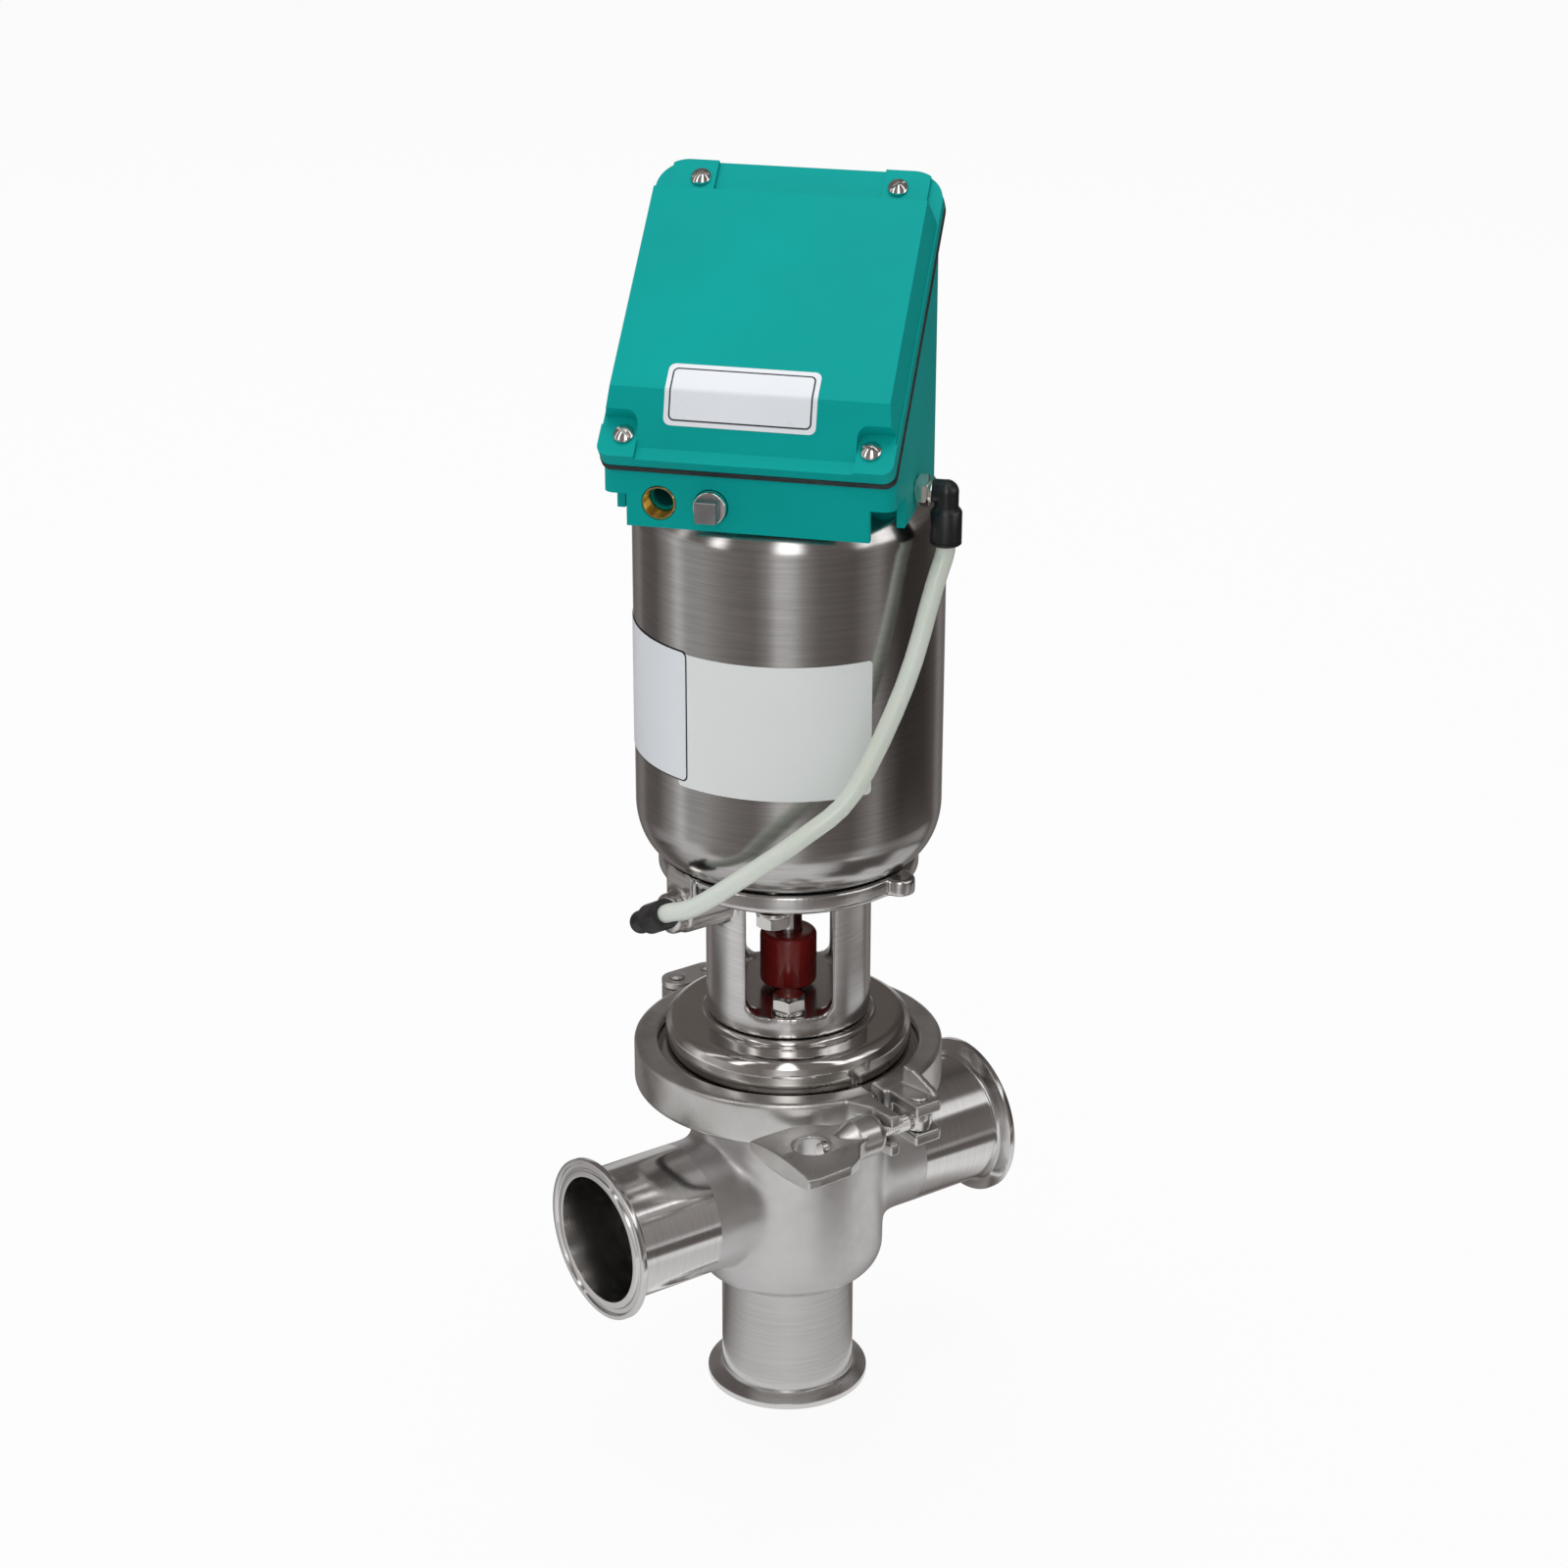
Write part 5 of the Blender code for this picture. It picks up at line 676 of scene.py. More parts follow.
# Clamp. Two investment-cast halves with a wedge groove, tumbled to a satin grey, with ears for the swing
# bolt in front and a double-pinned hinge behind.
CLAMP_RADIUS = 0.0725
CLAMP_HALF = 0.0106
CLAMP_LIP = 0.06175
BOLT_OFFSET = 0.0865
HINGE_X = 0.0090
HINGE_Y = 0.0806
cast_steel = new_look("tumbled_casting", 1.0, 0.30, (0.62, 0.61, 0.59))
cast_patches = grain(cast_steel, 45, 3)
cast_skin = grain(cast_steel, 260, 1)
tint(cast_steel, cast_patches, (0.54, 0.53, 0.51), (0.68, 0.67, 0.66))
vary(cast_steel, cast_patches, "Roughness", 0.25, 0.34)
relief(cast_steel, (cast_patches, 0.0004, 0.05), (cast_skin, 0.00004, 0.10))
LEFT_EAR = [(-0.0050, -0.0680), (-0.0272, -0.0620), (-0.0172, -0.0705), (-0.0112, -0.0812), (-0.0112, -0.0865),
            (-0.00986, -0.0945), (-0.0050, -0.0945)]
RIGHT_EAR = [(0.0050, -0.0935), (0.0185, -0.0935), (0.0205, -0.0915), (0.0205, -0.0720), (0.0305, -0.0620),
             (0.0050, -0.0680)]
at_clamp = Matrix.Translation((0, 0, CLAMP_HEIGHT))
ear_slot = ((-0.0224, -0.1040, -0.0043), (0.0410, -0.0745, 0.0043))
pivot_hole = ((0.0115, -BOLT_OFFSET), 0.0038)


def clamp_half(side, ear_outline):
    """Half of the clamp: the grooved ring cut at its parting, with its front ears and its hinge ear."""
    ring = spun([(0.0713, CLAMP_HALF), (CLAMP_RADIUS, 0.0094), (CLAMP_RADIUS, -0.0094), (0.0713, -CLAMP_HALF),
                 (CLAMP_LIP, -CLAMP_HALF), (CLAMP_LIP, -0.0061), (0.0664, -0.0044), (0.0670, -0.0041),
                 (0.0670, 0.0041), (0.0664, 0.0044), (CLAMP_LIP, 0.0061), (CLAMP_LIP, CLAMP_HALF)], 160, 0, at_clamp)
    keep = block((0.0025, -0.08, -0.08), (0.08, 0.08, 0.08), at_clamp @ turn_about("Z", 90 - side * 90))
    ring = worked(ring, keep, how="INTERSECT")
    ears = prism(ear_outline, -CLAMP_HALF + 0.0004, CLAMP_HALF - 0.0004, at_clamp)
    hinge_ear = prism([(side * 0.0171, 0.0665)]
                      + arc((side * HINGE_X, HINGE_Y), 0.0075, 90 - side * 90, 90 + side * 90, 16)
                      + [(side * 0.0015, 0.0665)], -0.0069, 0.0069, at_clamp)
    bits = [ears, hinge_ear]
    if side > 0:
        bits.append(prism([(-0.0050, 0), (0.0170, 0), (0.0130, 0.0030), (0.0010, 0.0090), (-0.0050, 0.0095)],
                          -0.0017, 0.0017, at_clamp @ Matrix.Translation((0.0170, -0.0745, 0.0094))
                          @ turn_about("Z", -80) @ turn_about("X", 90)))
    half = worked(ring, *bits, how="UNION")
    half = eased(worked(half, block(*ear_slot, at_clamp), voxel=0.00062), 3)
    holes = [rod(0.0033, -CLAMP_HALF, CLAMP_HALF, 48, at_clamp @ Matrix.Translation((side * HINGE_X, HINGE_Y, 0)))]
    if side > 0:
        holes.append(rod(pivot_hole[1], -0.02, 0.02, 48, at_clamp @ Matrix.Translation((*pivot_hole[0], 0))))
    return worked(half, *holes)


piece("clamp_left_casting", clamp_half(-1, LEFT_EAR), cast_steel, "cast_steel", "valve_body", "clamp_half_left",
      angle=50)
piece("clamp_right_casting", clamp_half(1, RIGHT_EAR), cast_steel, "cast_steel", "valve_body", "clamp_half_right",
      angle=50)
for label, low in (("upper", 0.0072), ("lower", -0.0106)):
    link = prism(arc((HINGE_X, 0), 0.0075, -90, 90, 16) + arc((-HINGE_X, 0), 0.0075, 90, 270, 16), low, low + 0.0034,
                 at_clamp @ Matrix.Translation((0, HINGE_Y, 0)))
    holes = [rod(0.0033, low - 0.003, low + 0.007, 48, at_clamp @ Matrix.Translation((side * HINGE_X, HINGE_Y, 0)))
             for side in (-1, 1)]
    edged(piece(f"hinge_{label}_link", worked(link, *holes), cast_steel, "cast_steel", "valve_body",
                f"hinge_link_{label}"), 0.0005)
for side, label in ((-1, "left"), (1, "right")):
    pin = spun([(0, 0.0123), (0.0028, 0.0123), (0.0038, 0.0116), (0.0038, 0.0109), (0.0030, 0.0109), (0.0030, -0.0109),
                (0.0038, -0.0109), (0.0038, -0.0116), (0.0028, -0.0123), (0, -0.0123)], 48, 0.00012,
               at_clamp @ Matrix.Translation((side * HINGE_X, HINGE_Y, 0)))
    piece(f"hinge_{label}_pin", pin, cast_steel, "cast_steel", "valve_body", f"hinge_pin_{label}")

# Swing bolt and wing nut. An eye bolt turns on a pin between the right ears. The nut is one casting: a
# barrel and a thick wing, crowned towards its edges, with a hole through the wing.
to_pivot = at_clamp @ Matrix.Translation((0.0115, -BOLT_OFFSET, 0))
along_bolt = to_pivot @ turn_about("Y", -90)
pin = spun([(0, 0.0115), (0.0036, 0.0115), (0.0041, 0.0110), (0.0041, 0.0105), (0.0035, 0.0105), (0.0035, -0.0105),
            (0.0041, -0.0105), (0.0041, -0.0110), (0.0036, -0.0115), (0, -0.0115)], 48, 0, to_pivot)
piece("swing_pin", pin, cast_steel, "cast_steel", "valve_body", "swing_bolt_pin")
THREAD_PITCH = 0.00125
thread = [(0, 0.0555), (0.0030, 0.0555)]
height_on_thread = 0.0550
while height_on_thread > 0.0080:
    thread += [(0.0038, height_on_thread), (0.0033, height_on_thread - THREAD_PITCH / 2)]
    height_on_thread -= THREAD_PITCH
thread += [(0.0038, height_on_thread), (0.0038, 0.0050), (0, 0.0050)]
eye_ring = spun([(0.0062, 0.0040), (0.0062, -0.0040), (0.0038, -0.0040), (0.0038, 0.0040)], 72, 0.0005, to_pivot)
piece("swing_bolt_forged", worked(eye_ring, spun(thread, 48, 0, along_bolt), how="UNION"), bolt_steel, "nickel",
      "swing_bolt", "swing_bolt")
NUT_FACE = 0.0230
BARREL_END = 0.0380
WING_END = 0.0780
WING_HALF = 0.0235
WING_THICKNESS = 0.0100
barrel = spun([(0, BARREL_END + 0.0080), (0.0057, BARREL_END + 0.0080), (0.0095, BARREL_END), (0.0095, NUT_FACE + 0.0040),
               (0.0083, NUT_FACE + 0.0014), (0.0055, NUT_FACE), (0, NUT_FACE)], 72, 0, along_bolt)
half_wing = [(BARREL_END - 0.0040, 0.0081), (BARREL_END + 0.0030, 0.0109), (BARREL_END + 0.0090, 0.0188),
             (BARREL_END + 0.0170, 0.0228), (WING_END - 0.0060, WING_HALF), (WING_END, 0.0228)]
wings = prism(half_wing + [(x, -y) for x, y in reversed(half_wing)], -WING_THICKNESS, WING_THICKNESS,
              along_bolt @ turn_about("Y", -90))
half_crown = [(-WING_HALF, -0.00225), (-WING_HALF * 0.75, -0.0034), (-WING_HALF * 0.4, -0.0045), (0, -0.0050),
              (WING_HALF * 0.4, -0.0045), (WING_HALF * 0.75, -0.0034), (WING_HALF, -0.00225)]
crown = prism(half_crown + [(x, -y) for x, y in reversed(half_crown)], BARREL_END / 2, WING_END * 2,
              along_bolt @ turn_about("Z", 90))
nut = worked(barrel, worked(wings, crown, how="INTERSECT"), how="UNION")
nut_eye = rod(0.0085, -0.02, 0.02, 72, along_bolt @ Matrix.Translation((0, 0, 0.0605)) @ turn_about("Y", 90))
nut = eased(worked(nut, nut_eye, voxel=0.00042), 5)
nut_thread = rod(0.0041, 0, 0.0605, 48, along_bolt)
piece("wing_nut_casting", worked(nut, nut_thread), cast_steel, "cast_steel", "wing_nut", "wing_nut", angle=50)

# Air cylinder. A deep-drawn stainless can, brushed round its axis, closed by a base disc. Inside it the
# piston works against a spring. Two blank paper labels are stuck round the outside.
can_steel = turned_steel("brushed_can", "z", (0.42, 0.41, 0.40), (0.52, 0.51, 0.50), 0.14, 0.20, 0.2)
can = spun([(0.0103, CAN_TOP)] + arc((0.045, 0.44), 0.025, 90, 0, 20)
           + can_foot(0)
           + [(0.0458, CAN_LOW), (0.0458, CAN_LOW + 0.008), (0.0675, CAN_LOW + 0.016)]
           + arc((0.045, 0.4375), 0.0225, 0, 90, 12) + [(0.0103, 0.46)], 192)
piece("drawn_can", can, can_steel, "brushed_steel", "valve_body", "actuator_cylinder")
round_like("base_disc", "actuator_base", 0.0455, can_steel, "brushed_steel", "valve_body", 0.00965, 144)
round_like("rod_guide", "rod_bush", 0.00935, bush_white, "white_polymer", "valve_body", STEM_RADIUS + GAP)
round_like("top_guide", "upper_bush", 0.0100, bush_white, "white_polymer", "valve_body", 0.0053)
piston_steel = turned_steel("turned_piston", "z", (0.50, 0.49, 0.47), (0.60, 0.59, 0.57), 0.26, 0.36, 0.2)
spring_steel = new_look("blued_spring", 1.0, 0.38, (0.33, 0.33, 0.35))
vary(spring_steel, grain(spring_steel, 200, 3), "Roughness", 0.30, 0.46)
tint(spring_steel, grain(spring_steel, 80, 3), (0.26, 0.26, 0.28), (0.38, 0.38, 0.39))
trip_black = new_look("black_moulding", 0.0, 0.42, (0.012, 0.012, 0.014))
vary(trip_black, grain(trip_black, 120, 2), "Roughness", 0.34, 0.5)
relief(trip_black, (grain(trip_black, 400, 2), 0.00003, 0.1))
piece("piston_turned", from_solid("piston"), piston_steel, "brushed_steel", "stem_assembly", "piston")
piece("piston_ring", from_solid("piston_seal"), rubber, "black_rubber", "stem_assembly", "piston_seal")
piece("piston_hex_nut", from_solid("piston_nut"), bolt_steel, "nickel", "stem_assembly", "piston_nut")
spring = piece("coil_spring", from_solid("return_spring"), spring_steel, "spring_steel", "valve_body",
               "return_spring", angle=60)
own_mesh(spring)
round_like("trip_ring", "trip_collar", 0.0100, trip_black, "black_plastic", "stem_assembly", 0.0053)
rod_low, rod_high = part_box("actuator_rod")
seat_of_rod = CAN_LOW + 0.0080 + 0.0035 - GAP
piece("upper_stem", spun([(0, rod_high.z), (0.0040, rod_high.z), (0.0050, rod_high.z - 0.001), (0.0050, seat_of_rod),
                          (STEM_RADIUS, seat_of_rod), (STEM_RADIUS, rod_low.z), (0, rod_low.z)], 72), stem_steel,
      "polished_steel", "stem_assembly", "actuator_rod")

label_white = new_look("label_paper", 0.0, 0.42, (0.80, 0.83, 0.82))
tint(label_white, grain(label_white, 12, 2), (0.77, 0.80, 0.79), (0.82, 0.85, 0.84))
vary(label_white, grain(label_white, 25, 2), "Roughness", 0.36, 0.50)
label_bright = new_look("label_vinyl", 0.0, 0.3, (0.80, 0.83, 0.87))
tint(label_bright, grain(label_bright, 12, 2), (0.77, 0.80, 0.84), (0.82, 0.85, 0.89))
vary(label_bright, grain(label_bright, 25, 2), "Roughness", 0.26, 0.36)
ink = new_look("label_ink", 0.0, 0.4, (0.012, 0.012, 0.022))
vary(ink, grain(ink, 60, 2), "Roughness", 0.34, 0.46)


def wrapped(low, high, start, end, lift, corner, thickness=0.00012):
    """A thin rounded label wrapped on the can between two angles from the camera's side."""
    width = math.radians(end - start) * CAN_RADIUS
    tall = high - low
    outline = (arc((width - corner, corner), corner, -90, 0, 6) + arc((width - corner, tall - corner), corner, 0, 90, 6)
               + arc((corner, tall - corner), corner, 90, 180, 6) + arc((corner, corner), corner, 180, 270, 6))
    flat = prism(outline, 0, thickness)
    for step in range(1, 90):
        cut_at = width * step / 90
        bmesh.ops.bisect_plane(flat, geom=flat.verts[:] + flat.edges[:] + flat.faces[:], plane_co=(cut_at, 0, 0),
                               plane_no=(1, 0, 0))
    for vert in flat.verts:
        angle = camera_side + math.radians(start) + vert.co.x / CAN_RADIUS
        radius = CAN_RADIUS + lift + vert.co.z
        vert.co = (radius * math.cos(angle), radius * math.sin(angle), low + vert.co.y)
    return flat


piece("long_label", wrapped(0.3312, 0.3938, -44, 31, 0.00002, 0.0020), label_white, "white_polymer", "valve_body",
      angle=20)
piece("side_label_border", wrapped(0.3336, 0.3950, -128, -39.5, 0.00018, 0.0030, 0.00006), ink, "black_plastic",
      "valve_body", angle=20)
piece("side_label", wrapped(0.3343, 0.3943, -127.4, -40.1, 0.00025, 0.0024, 0.00008), label_bright,
      "white_polymer", "valve_body", angle=20)

# Control box. Injection-moulded teal polycarbonate with a fine matt skin: a hollow base cut off on a
# slope, shaped underneath to sit over the cylinder, with a notch under each front corner.
teal = new_look("teal_moulding", 0.0, 0.4, (0.0, 0.350, 0.325), Specular_IOR_Level=0.06)
teal_flow = grain(teal, 14, 3)
tint(teal, teal_flow, (0.0, 0.330, 0.305), (0.0, 0.365, 0.340))
vary(teal, teal_flow, "Roughness", 0.42, 0.54)
relief(teal, (teal_flow, 0.0006, 0.05), (grain(teal, 320, 1), 0.00003, 0.06))
BOX_HALF = 0.0630
BOX_FRONT = 0.0800
BOX_REAR = 0.0280
BOX_LOW = 0.4572
BOX_FLOOR = 0.4800
BOX_WALL = 0.0035
SEAL_FRONT = 0.4851
SLOPE = math.radians(42)
to_box = turn_about("Z", -48.4)
to_cover = to_box @ Matrix.Translation((0, -BOX_FRONT, SEAL_FRONT)) @ Matrix.Rotation(SLOPE, 4, "X")


def plan(inset, half, front, rear, rear_corner, front_corner):
    """The box's outline from above, with larger corners at the back."""
    w, f, r = half - inset, front - inset, rear - inset
    a, b = max(rear_corner - inset, 0.001), max(front_corner - inset, 0.001)
    return (arc((w - b, b - f), b, -90, 0, 10) + arc((w - a, r - a), a, 0, 90, 16)
            + arc((a - w, r - a), a, 90, 180, 16) + arc((b - w, b - f), b, 180, 270, 10))


box_plan = (BOX_HALF, BOX_FRONT, BOX_REAR, 0.0200, 0.0050)
box_high = SEAL_FRONT + (BOX_FRONT + BOX_REAR) * math.tan(SLOPE) + 0.0035
base = worked(prism(plan(0, *box_plan), BOX_LOW, box_high, to_box),
              prism(plan(BOX_WALL, *box_plan), BOX_FLOOR, box_high + 0.01, to_box),
              prism(plan(BOX_WALL, *box_plan), BOX_LOW - 0.001, BOX_FLOOR - BOX_WALL, to_box))
PORT_UP = 0.4681
to_bush = to_box @ Matrix.Translation((-0.0384, -BOX_FRONT, PORT_UP)) @ turn_about("X", 90)
to_plug = to_box @ Matrix.Translation((-0.0158, -BOX_FRONT, PORT_UP)) @ turn_about("X", 90)
to_side = to_box @ Matrix.Translation((BOX_HALF, -0.0320, 0.4665)) @ turn_about("Y", 90)
pad = rod(0.0265, CAN_TOP - BOX_WALL, BOX_FLOOR - BOX_WALL / 2, 96)
base = worked(base, pad, *[rod(0.0090, -0.0130, -BOX_WALL / 2, 64, stand) for stand in (to_bush, to_plug, to_side)],
              how="UNION")
bosses = [rod(0.0070, 0.4785, box_high, 48, to_box @ Matrix.Translation((side * across, deep, 0)))
          for side in (-1, 1) for across, deep in ((0.0530, -0.0710), (0.0436, 0.0190))]
base = worked(base, *bosses, how="UNION")
above = block((-0.13, -BOX_FRONT, 0), (0.13, 0.30, box_high), to_cover)
over_can = spun([(0, CAN_TOP + GAP)] + arc((0.045, 0.44), 0.0253, 90, 0, 20)
                + [(CAN_RADIUS + GAP, CAN_LOW), (0, CAN_LOW)], 144)
notches = [block((min(side * 0.0525, side * 0.0665), -0.0835, 0),
                 (max(side * 0.0525, side * 0.0665), -0.0570, 0.4712), to_box) for side in (-1, 1)]
ports = [rod(0.0076, -0.0103, 0.0100, 64, to_bush), rod(0.0052, -0.0200, 0, 48, to_bush),
         rod(0.0076, -0.0103, 0.0100, 64, to_plug), rod(0.0049, -0.0078, 0.0072, 48, to_side)]
SCREWS = [(label, side, side * across, up) for label, across, up in (("low", 0.0530, 0.0077), ("high", 0.0436, 0.1387))
          for side in (-1, 1)]
SCREW_SEAT = 0.0098
screw_holes = [rod(0.0022, -0.0138, 0.0003, 32, to_cover @ Matrix.Translation((x, y, SCREW_SEAT)))
               for _, _, x, y in SCREWS]
base = worked(base, above, over_can, rod(0.0056, CAN_TOP, 0.4835, 48), *notches, *ports, *screw_holes)
edged(piece("box_moulding", base, teal, "teal_plastic", "valve_body", "control_base"), 0.0006)

# Cover. The same teal moulding: a flat flange on the gasket, and a drafted dome with a flat face, a crease
# and a steep front. Its low screws sit in pockets of the steep face, and its high ones behind the crest.
CREASE = 0.0010
cover_low = 0.0022
flange_top = 0.0080
dome_top = 0.0217
cover_half = 0.0635
cover_edge = (cover_half, 0.0030, 0.1480, 0.0140, 0.0050)
cover_plan = plan(0, *cover_edge)
# A black rubber band round the outside of the box's top edge, from 1.4 mm below the seal up to the gasket's top: partly
# the gasket's real edge, partly painted shade between the cover's flange and the box.
gasket_and_shade_band = worked(prism(plan(-0.0003, *cover_edge), -0.0014, 0.0020, to_cover),
                   prism(plan(-0.0003, *box_plan), BOX_LOW, box_high + 0.02, to_box))
gasket = worked(prism(plan(-0.0003, *cover_edge), 0.0003, 0.0020, to_cover),
                prism([(x, (y + BOX_FRONT) / math.cos(SLOPE)) for x, y in plan(0.0065, *box_plan)], -0.003, 0.003,
                      to_cover),
                *[rod(0.0022, -0.0138, 0.0003, 32, to_cover @ Matrix.Translation((x, y, SCREW_SEAT)))
                  for _, _, x, y in SCREWS])
# Joins the band of painted shade to the real gasket.
gasket = worked(gasket, gasket_and_shade_band, how="UNION")
piece("cover_seal_and_shade_band", gasket, rubber, "black_rubber", "valve_body", "cover_gasket")
upright = turn_about("Z", 90) @ turn_about("X", 90)
dome = prism([(0.0030, 0.0051), (0.0030, flange_top), (0.0240, dome_top), (0.1250, dome_top), (0.1265, flange_top),
              (0.1265, 0.0051)], -cover_half, cover_half, upright)
draft = prism([(-0.0646, 0), (0.0646, 0), (0.0600, dome_top), (-0.0600, dome_top)], -0.148, 0.006, turn_about("X", 90))
dome = worked(dome, draft, prism(plan(0, cover_half + 0.0020, 0.0030, 0.1265, 0.0110, 0.0050), -0.01, 0.05),
              how="INTERSECT")
shell = worked(prism(cover_plan, cover_low, flange_top), dome, how="UNION")
pockets = []
for side in (-1, 1):
    rounded = [(side * x, y) for x, y in arc((0.05175, 0.01125), 0.00475, 180, 90, 10)]
    pockets.append(prism([(side * 0.127, 0.0160), (side * 0.127, -0.006), (side * 0.0470, -0.006), *rounded],
                         SCREW_SEAT, 0.05))
shell = worked(shell, *pockets)
tabs = worked(prism(cover_plan, 0.0051, SCREW_SEAT), block((-0.0470, -0.038, 0), (0.0470, 0.0160, 0.03)),
              block((-0.127, 0.0160, 0), (0.127, 0.1250, 0.03)), block((-0.0370, 0.0120, 0), (0.0370, 0.296, 0.03)),
              block((-0.127, 0.0120, 0), (-0.0570, 0.296, 0.03)), block((0.0570, 0.0120, 0), (0.127, 0.296, 0.03)))
shell = worked(shell, tabs, how="UNION")
cavity = prism([(0.0060, -0.003), (0.0060, 0.0065), (0.0250, 0.0187), (0.1235, 0.0187), (0.1235, -0.003)],
               -0.0570, 0.0570, upright)
posts = [block((min(side * 0.0440, side * 0.127), -0.003, -0.006), (max(side * 0.0440, side * 0.127), 0.019, 0.0217))
         for side in (-1, 1)]
holes = [rod(0.0022, -0.0138, 0.0003, 32, Matrix.Translation((x, y, SCREW_SEAT))) for _, _, x, y in SCREWS]
shell = worked(shell, worked(cavity, *posts), *holes)
bmesh.ops.transform(shell, matrix=to_cover, verts=shell.verts)
edged(piece("cover_moulding", shell, teal, "teal_plastic", "valve_body", "control_cover"), CREASE, 4)

# Cover screws. Four domed chromed screws with a single slot each, left at whatever angle they pulled up.
chrome = new_look("bright_chrome", 1.0, 0.12, (0.78, 0.77, 0.75))
vary(chrome, grain(chrome, 120, 2), "Roughness", 0.07, 0.15)
tint(chrome, grain(chrome, 90, 2), (0.70, 0.69, 0.67), (0.80, 0.79, 0.78))
SLOT_TURNS = {("low", -1): -35, ("low", 1): -20, ("high", -1): 15, ("high", 1): 40}
for label, side, x, y in SCREWS:
    stand = to_cover @ Matrix.Translation((x, y, SCREW_SEAT))
    screw = spun([(0, 0.0029)] + arc((0, -0.0031), 0.0060, 80, 45, 8) + [(0.0044, 0.0009), (0.0044, 0.0003),
                 (0.0019, 0.0003), (0.0019, -0.0135), (0, -0.0135)], 64, 0, stand)
    slot = block((-0.009, -0.0006, 0.0016), (0.009, 0.0006, 0.006), stand @ turn_about("Z", SLOT_TURNS[label, side]))
    where = "left" if side < 0 else "right"
    edged(piece(f"chromed_screw_{label}_{where}", worked(screw, slot), chrome, "nickel", "valve_body",
                f"cover_screw_{label}_{where}"), 0.00012, 2, 40)

# Cover plate. A blank self-adhesive plate folded over the cover's crease, with a thin dark border.
plate_gap = 0.00006


def folded(half_long, low_end, high_end, corner, lift, thickness):
    """A rounded plate on the cover: flat on its face, round the crease, then down its steep front."""
    outline = (arc((half_long - corner, low_end + corner), corner, -90, 0, 6)
               + arc((half_long - corner, high_end - corner), corner, 0, 90, 6)
               + arc((corner - half_long, high_end - corner), corner, 90, 180, 6)
               + arc((corner - half_long, low_end + corner), corner, 180, 270, 6))
    flat = prism(outline, 0, thickness)
    fall = math.atan2(0.0137, 0.0210)
    bend = CREASE / math.tan(fall / 2)
    half_arc = bend * fall / 2
    for step in range(-8, 9):
        bmesh.ops.bisect_plane(flat, geom=flat.verts[:] + flat.edges[:] + flat.faces[:],
                               plane_co=(0, step * half_arc / 8, 0), plane_no=(0, 1, 0))
    for vert in flat.verts:
        along = vert.co.y
        turned = min(fall, max(0, (half_arc - along) / bend))
        outward = Vector((-math.sin(turned), math.cos(turned)))
        point = Vector((0.0240 + CREASE, dome_top - bend)) + outward * (bend + lift + vert.co.z)
        past = max(0, along - half_arc) + min(0, along + half_arc)
        point += Vector((math.cos(turned), math.sin(turned))) * past
        vert.co = (vert.co.x, point.x, point.y)
    bmesh.ops.transform(flat, matrix=to_cover @ Matrix.Translation((-0.0033, 0, 0)), verts=flat.verts)
    return flat


piece("cover_plate", folded(0.0327, -0.0150, 0.0126, 0.0030, plate_gap, 0.00014), label_bright, "white_polymer",
      "valve_body", angle=60)
piece("cover_plate_border", folded(0.0307, -0.0130, 0.0106, 0.0024, plate_gap + 0.00014, 0.00005), ink,
      "black_plastic", "valve_body", angle=60)
piece("cover_plate_field", folded(0.0300, -0.0123, 0.0099, 0.0018, plate_gap + 0.00019, 0.00006), label_bright,
      "white_polymer", "valve_body", angle=60)

# Front ports. A brass insert with a cut thread, and a square-headed pipe plug screwed in beside it.
brass = new_look("yellow_brass", 1.0, 0.24, (0.80, 0.58, 0.22))
tint(brass, grain(brass, 80, 2), (0.74, 0.52, 0.19), (0.86, 0.66, 0.30))
vary(brass, grain(brass, 90, 2), "Roughness", 0.14, 0.24)
bush_profile = [(0.0070, 0.0003), (0.0073, 0), (0.0073, -0.0100), (0.0059, -0.0100)]
height_on_thread = -0.0094
while height_on_thread < -0.0014:
    bush_profile += [(0.0059, height_on_thread), (0.0063, height_on_thread + 0.0007)]
    height_on_thread += 0.0014
bush_profile += [(0.0060, -0.0008), (0.0066, 0.0003)]
piece("brass_insert", spun(bush_profile, 96, 0, to_bush), brass, "brass", "valve_body", "brass_bush", angle=25)
plug_zinc = new_look("dull_zinc", 1.0, 0.42, (0.30, 0.30, 0.31))
tint(plug_zinc, grain(plug_zinc, 90, 2), (0.26, 0.26, 0.27), (0.33, 0.33, 0.34))
vary(plug_zinc, grain(plug_zinc, 90, 2), "Roughness", 0.36, 0.48)
piece("plug_collar", spun([(0, 0.0030), (0.0069, 0.0030), (0.0073, 0.0024), (0.0073, -0.0100), (0, -0.0100)], 96, 0.0002,
                          to_plug), chrome, "nickel", "valve_body", "pipe_plug")
edged(piece("plug_square", block((-0.0048, -0.0048, 0.0029), (0.0048, 0.0048, 0.0100), to_plug), plug_zinc, "nickel",
            "valve_body", "pipe_plug"), 0.0008, 3, 50)

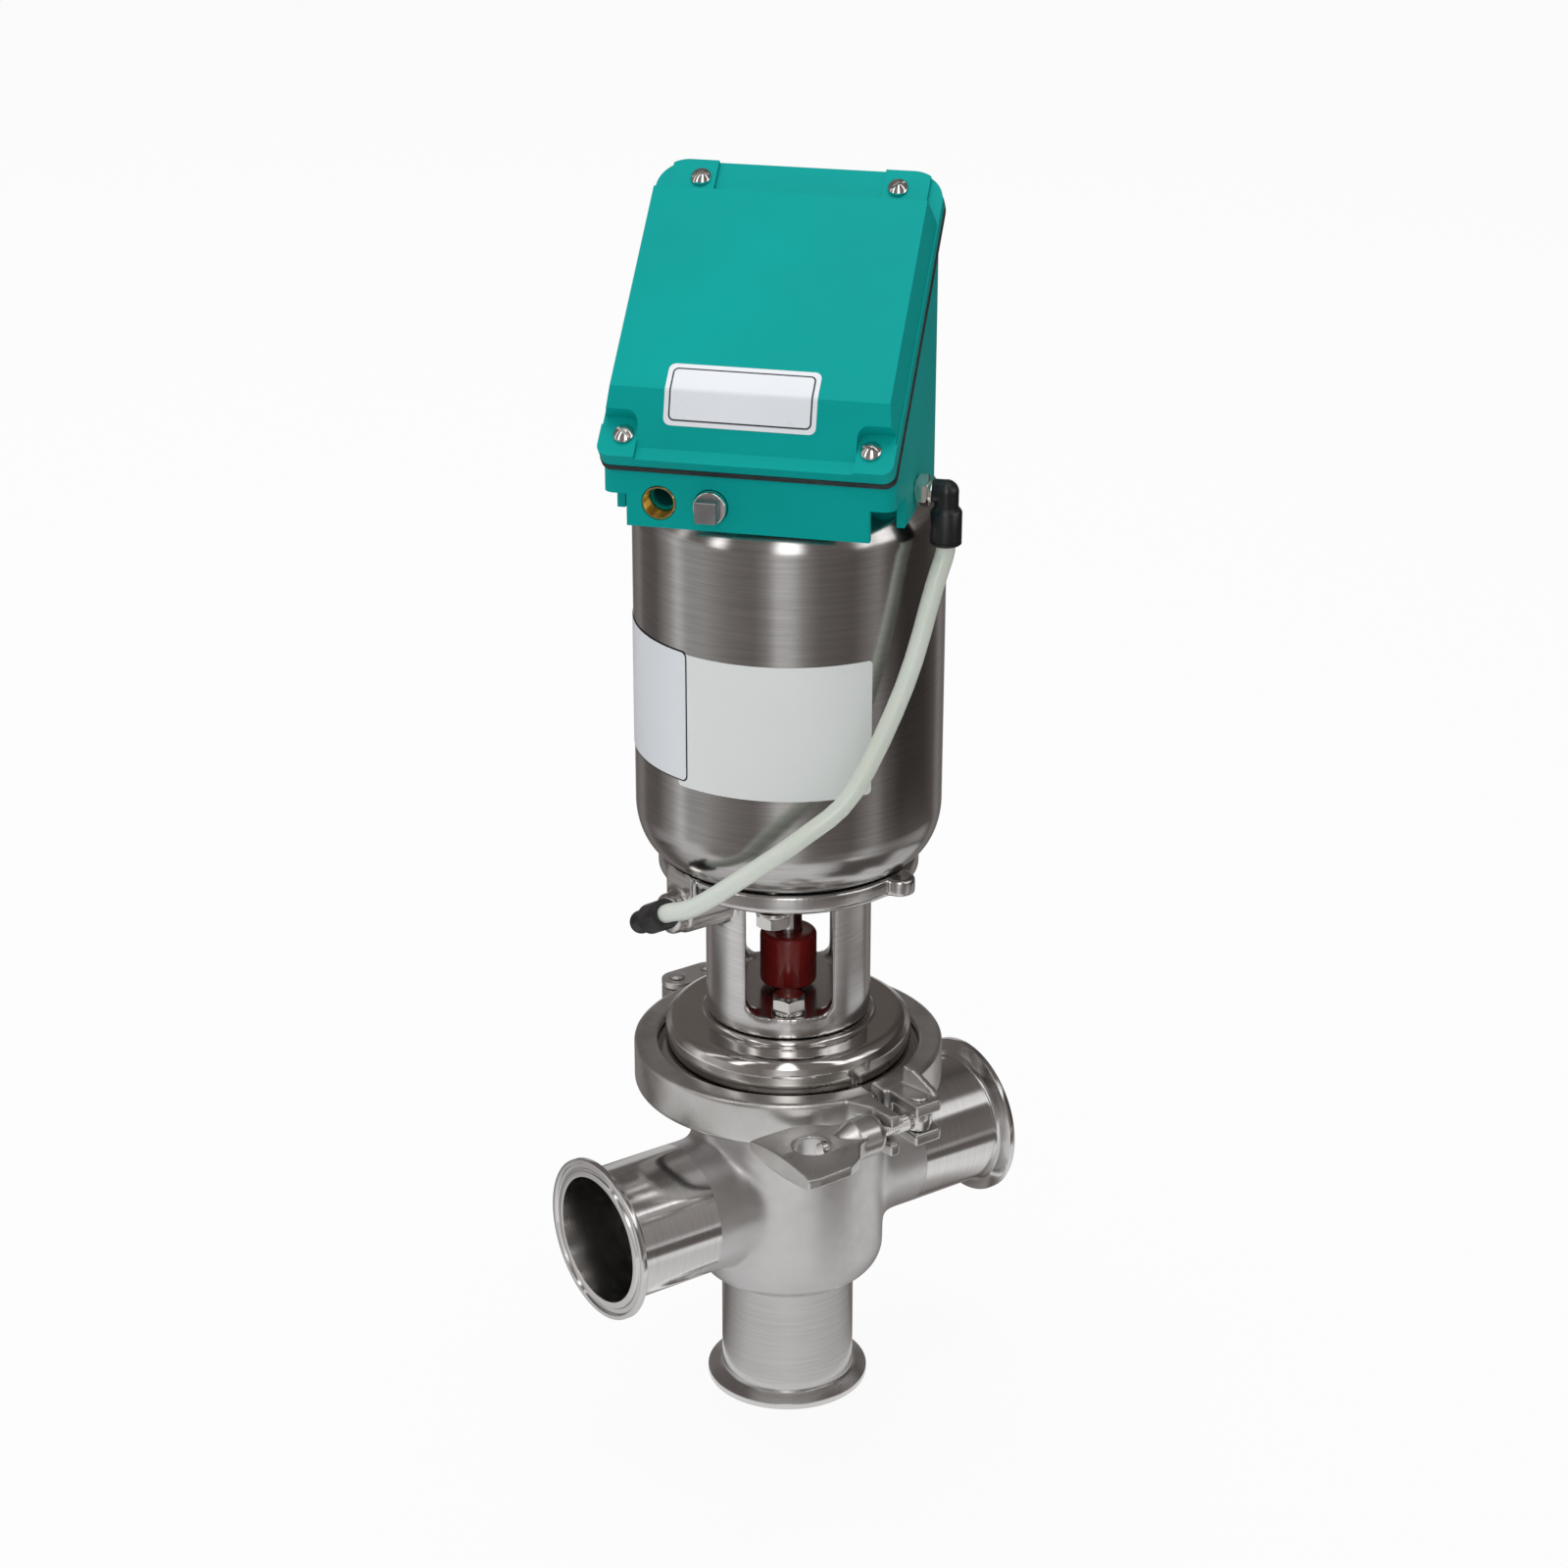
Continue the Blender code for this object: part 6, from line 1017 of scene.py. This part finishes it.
# Push-in fittings. A plated hexagon nipple in each air port, and on it a black swivel elbow with a ring
# at its mouth that lets the tube go.
SOCKET_END = 0.0236
to_lower = Matrix.Translation((-PORT_REACH, 0, PORT_HEIGHT)) @ turn_about("Y", -90)
nickel = new_look("bright_nickel", 1.0, 0.16, (0.74, 0.72, 0.66))
tint(nickel, grain(nickel, 80, 2), (0.68, 0.66, 0.61), (0.80, 0.78, 0.74))
vary(nickel, grain(nickel, 80, 2), "Roughness", 0.08, 0.16)
for label, stand in (("lower", to_lower), ("side", to_side)):
    nipple = hexagon(0.0125, 0.0011, 0.0058, stand, 0.0006, True)
    rings = spun([(0, 0.0075), (0.0052, 0.0075), (0.0055, 0.0072), (0.0055, 0.0060), (0.0050, 0.0056), (0.0050, 0.0013),
                  (0.0059, 0.0011), (0.0059, 0.0003), (0.0046, 0.0003), (0.0046, -0.0075), (0, -0.0075)], 72, 0, stand)
    piece(f"{label}_nipple", worked(nipple, rings, how="UNION"), nickel, "nickel", "valve_body", f"{label}_fitting")
elbow_places = {
    "lower": Matrix.Translation((-PORT_REACH - 0.0133, 0, PORT_HEIGHT)) @ Matrix.Rotation(math.pi, 4, "Z")
    @ turn_about("X", -60),
    "upper": to_box @ Matrix.Translation((BOX_HALF + 0.0133, -0.0320, 0.4665)) @ Matrix.Rotation(math.pi, 4, "X"),
}
elbow_black = new_look("elbow_moulding", 0.0, 0.34, (0.010, 0.010, 0.012))
vary(elbow_black, grain(elbow_black, 100, 2), "Roughness", 0.28, 0.40)
relief(elbow_black, (grain(elbow_black, 90, 1), 0.0004, 0.04))
for label, stand in elbow_places.items():
    sleeve = spun([(0, SOCKET_END - 0.0004), (0.0055, SOCKET_END - 0.0004), (0.0055, SOCKET_END), (0.0062, SOCKET_END),
                   (0.0069, SOCKET_END - 0.0006), (0.0069, SOCKET_END - 0.0016), (0.0066, SOCKET_END - 0.0018),
                   (0.0066, SOCKET_END - 0.0022), (0.0069, SOCKET_END - 0.0024), (0.0069, 0.0088), (0.0062, 0.0076),
                   (0.0053, 0.0066), (0.0053, 0), (0, 0)], 72, 0, stand)
    knee = bmesh.new()
    bmesh.ops.create_uvsphere(knee, u_segments=64, v_segments=32, radius=0.00535, matrix=stand @ turn_about("Z", 3))
    inlet = rod(0.00525, -0.0055, 0, 70, stand @ turn_about("Y", 90), 0.0003)
    socket = rod(0.0045, SOCKET_END - 0.0063, 0.05, 64, stand)
    piece(f"{label}_swivel", worked(worked(sleeve, knee, inlet, how="UNION"), socket), elbow_black, "black_plastic",
          "valve_body", f"{label}_elbow", angle=40)

# Air line. One length of milky nylon tube, held at both ends in the elbows, that crosses the front of the
# cylinder in a single easy curve.
TUBE = 0.0042
LINE_ROUTE = [(-0.0772, -0.0379, 0.2835), (-0.0651, -0.0583, 0.3022), (-0.0441, -0.0728, 0.3210),
              (-0.0220, -0.0792, 0.3390), (0.0035, -0.0812, 0.3834), (0.0198, -0.0796, 0.4246)]
ends = [[stand @ Vector((0, 0, SOCKET_END + out)) for out in (-0.0060, 0.0030)]
        for stand in (elbow_places["lower"], elbow_places["upper"])]
route = ends[0] + [Vector(point) for point in LINE_ROUTE] + ends[1][::-1]
smooth_route = [route[0]]
for before, start, end, after in zip(route, route[1:], route[2:], route[3:]):
    for step in range(4):
        t = step / 4
        smooth_route.append(0.5 * (2 * start + (end - before) * t + (2 * before - 5 * start + 4 * end - after) * t ** 2
                                   + (3 * start - before - 3 * end + after) * t ** 3))
smooth_route += route[-2:]
line = bpy.data.curves.new("air_line", "CURVE")
line.dimensions = "3D"
line.bevel_depth = TUBE
line.bevel_resolution = 10
line.use_fill_caps = True
spline = line.splines.new("POLY")
spline.points.add(len(smooth_route) - 1)
for point, place in zip(spline.points, smooth_route):
    point.co = (*place, 1)
spline.use_smooth = True
nylon = new_look("milky_nylon", 0.0, 0.28, (0.72, 0.77, 0.70), Subsurface_Weight=0.15, Subsurface_Scale=0.003)
tint(nylon, grain(nylon, 14, 2), (0.68, 0.73, 0.64), (0.76, 0.81, 0.76))
vary(nylon, grain(nylon, 20, 2), "Roughness", 0.22, 0.32)
line.materials.append(nylon)
air_line = bpy.data.objects.new("air_line", line)
scene.collection.objects.link(air_line)
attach(air_line, "valve_body")
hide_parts("air_tube")

bpy.context.view_layer.update()
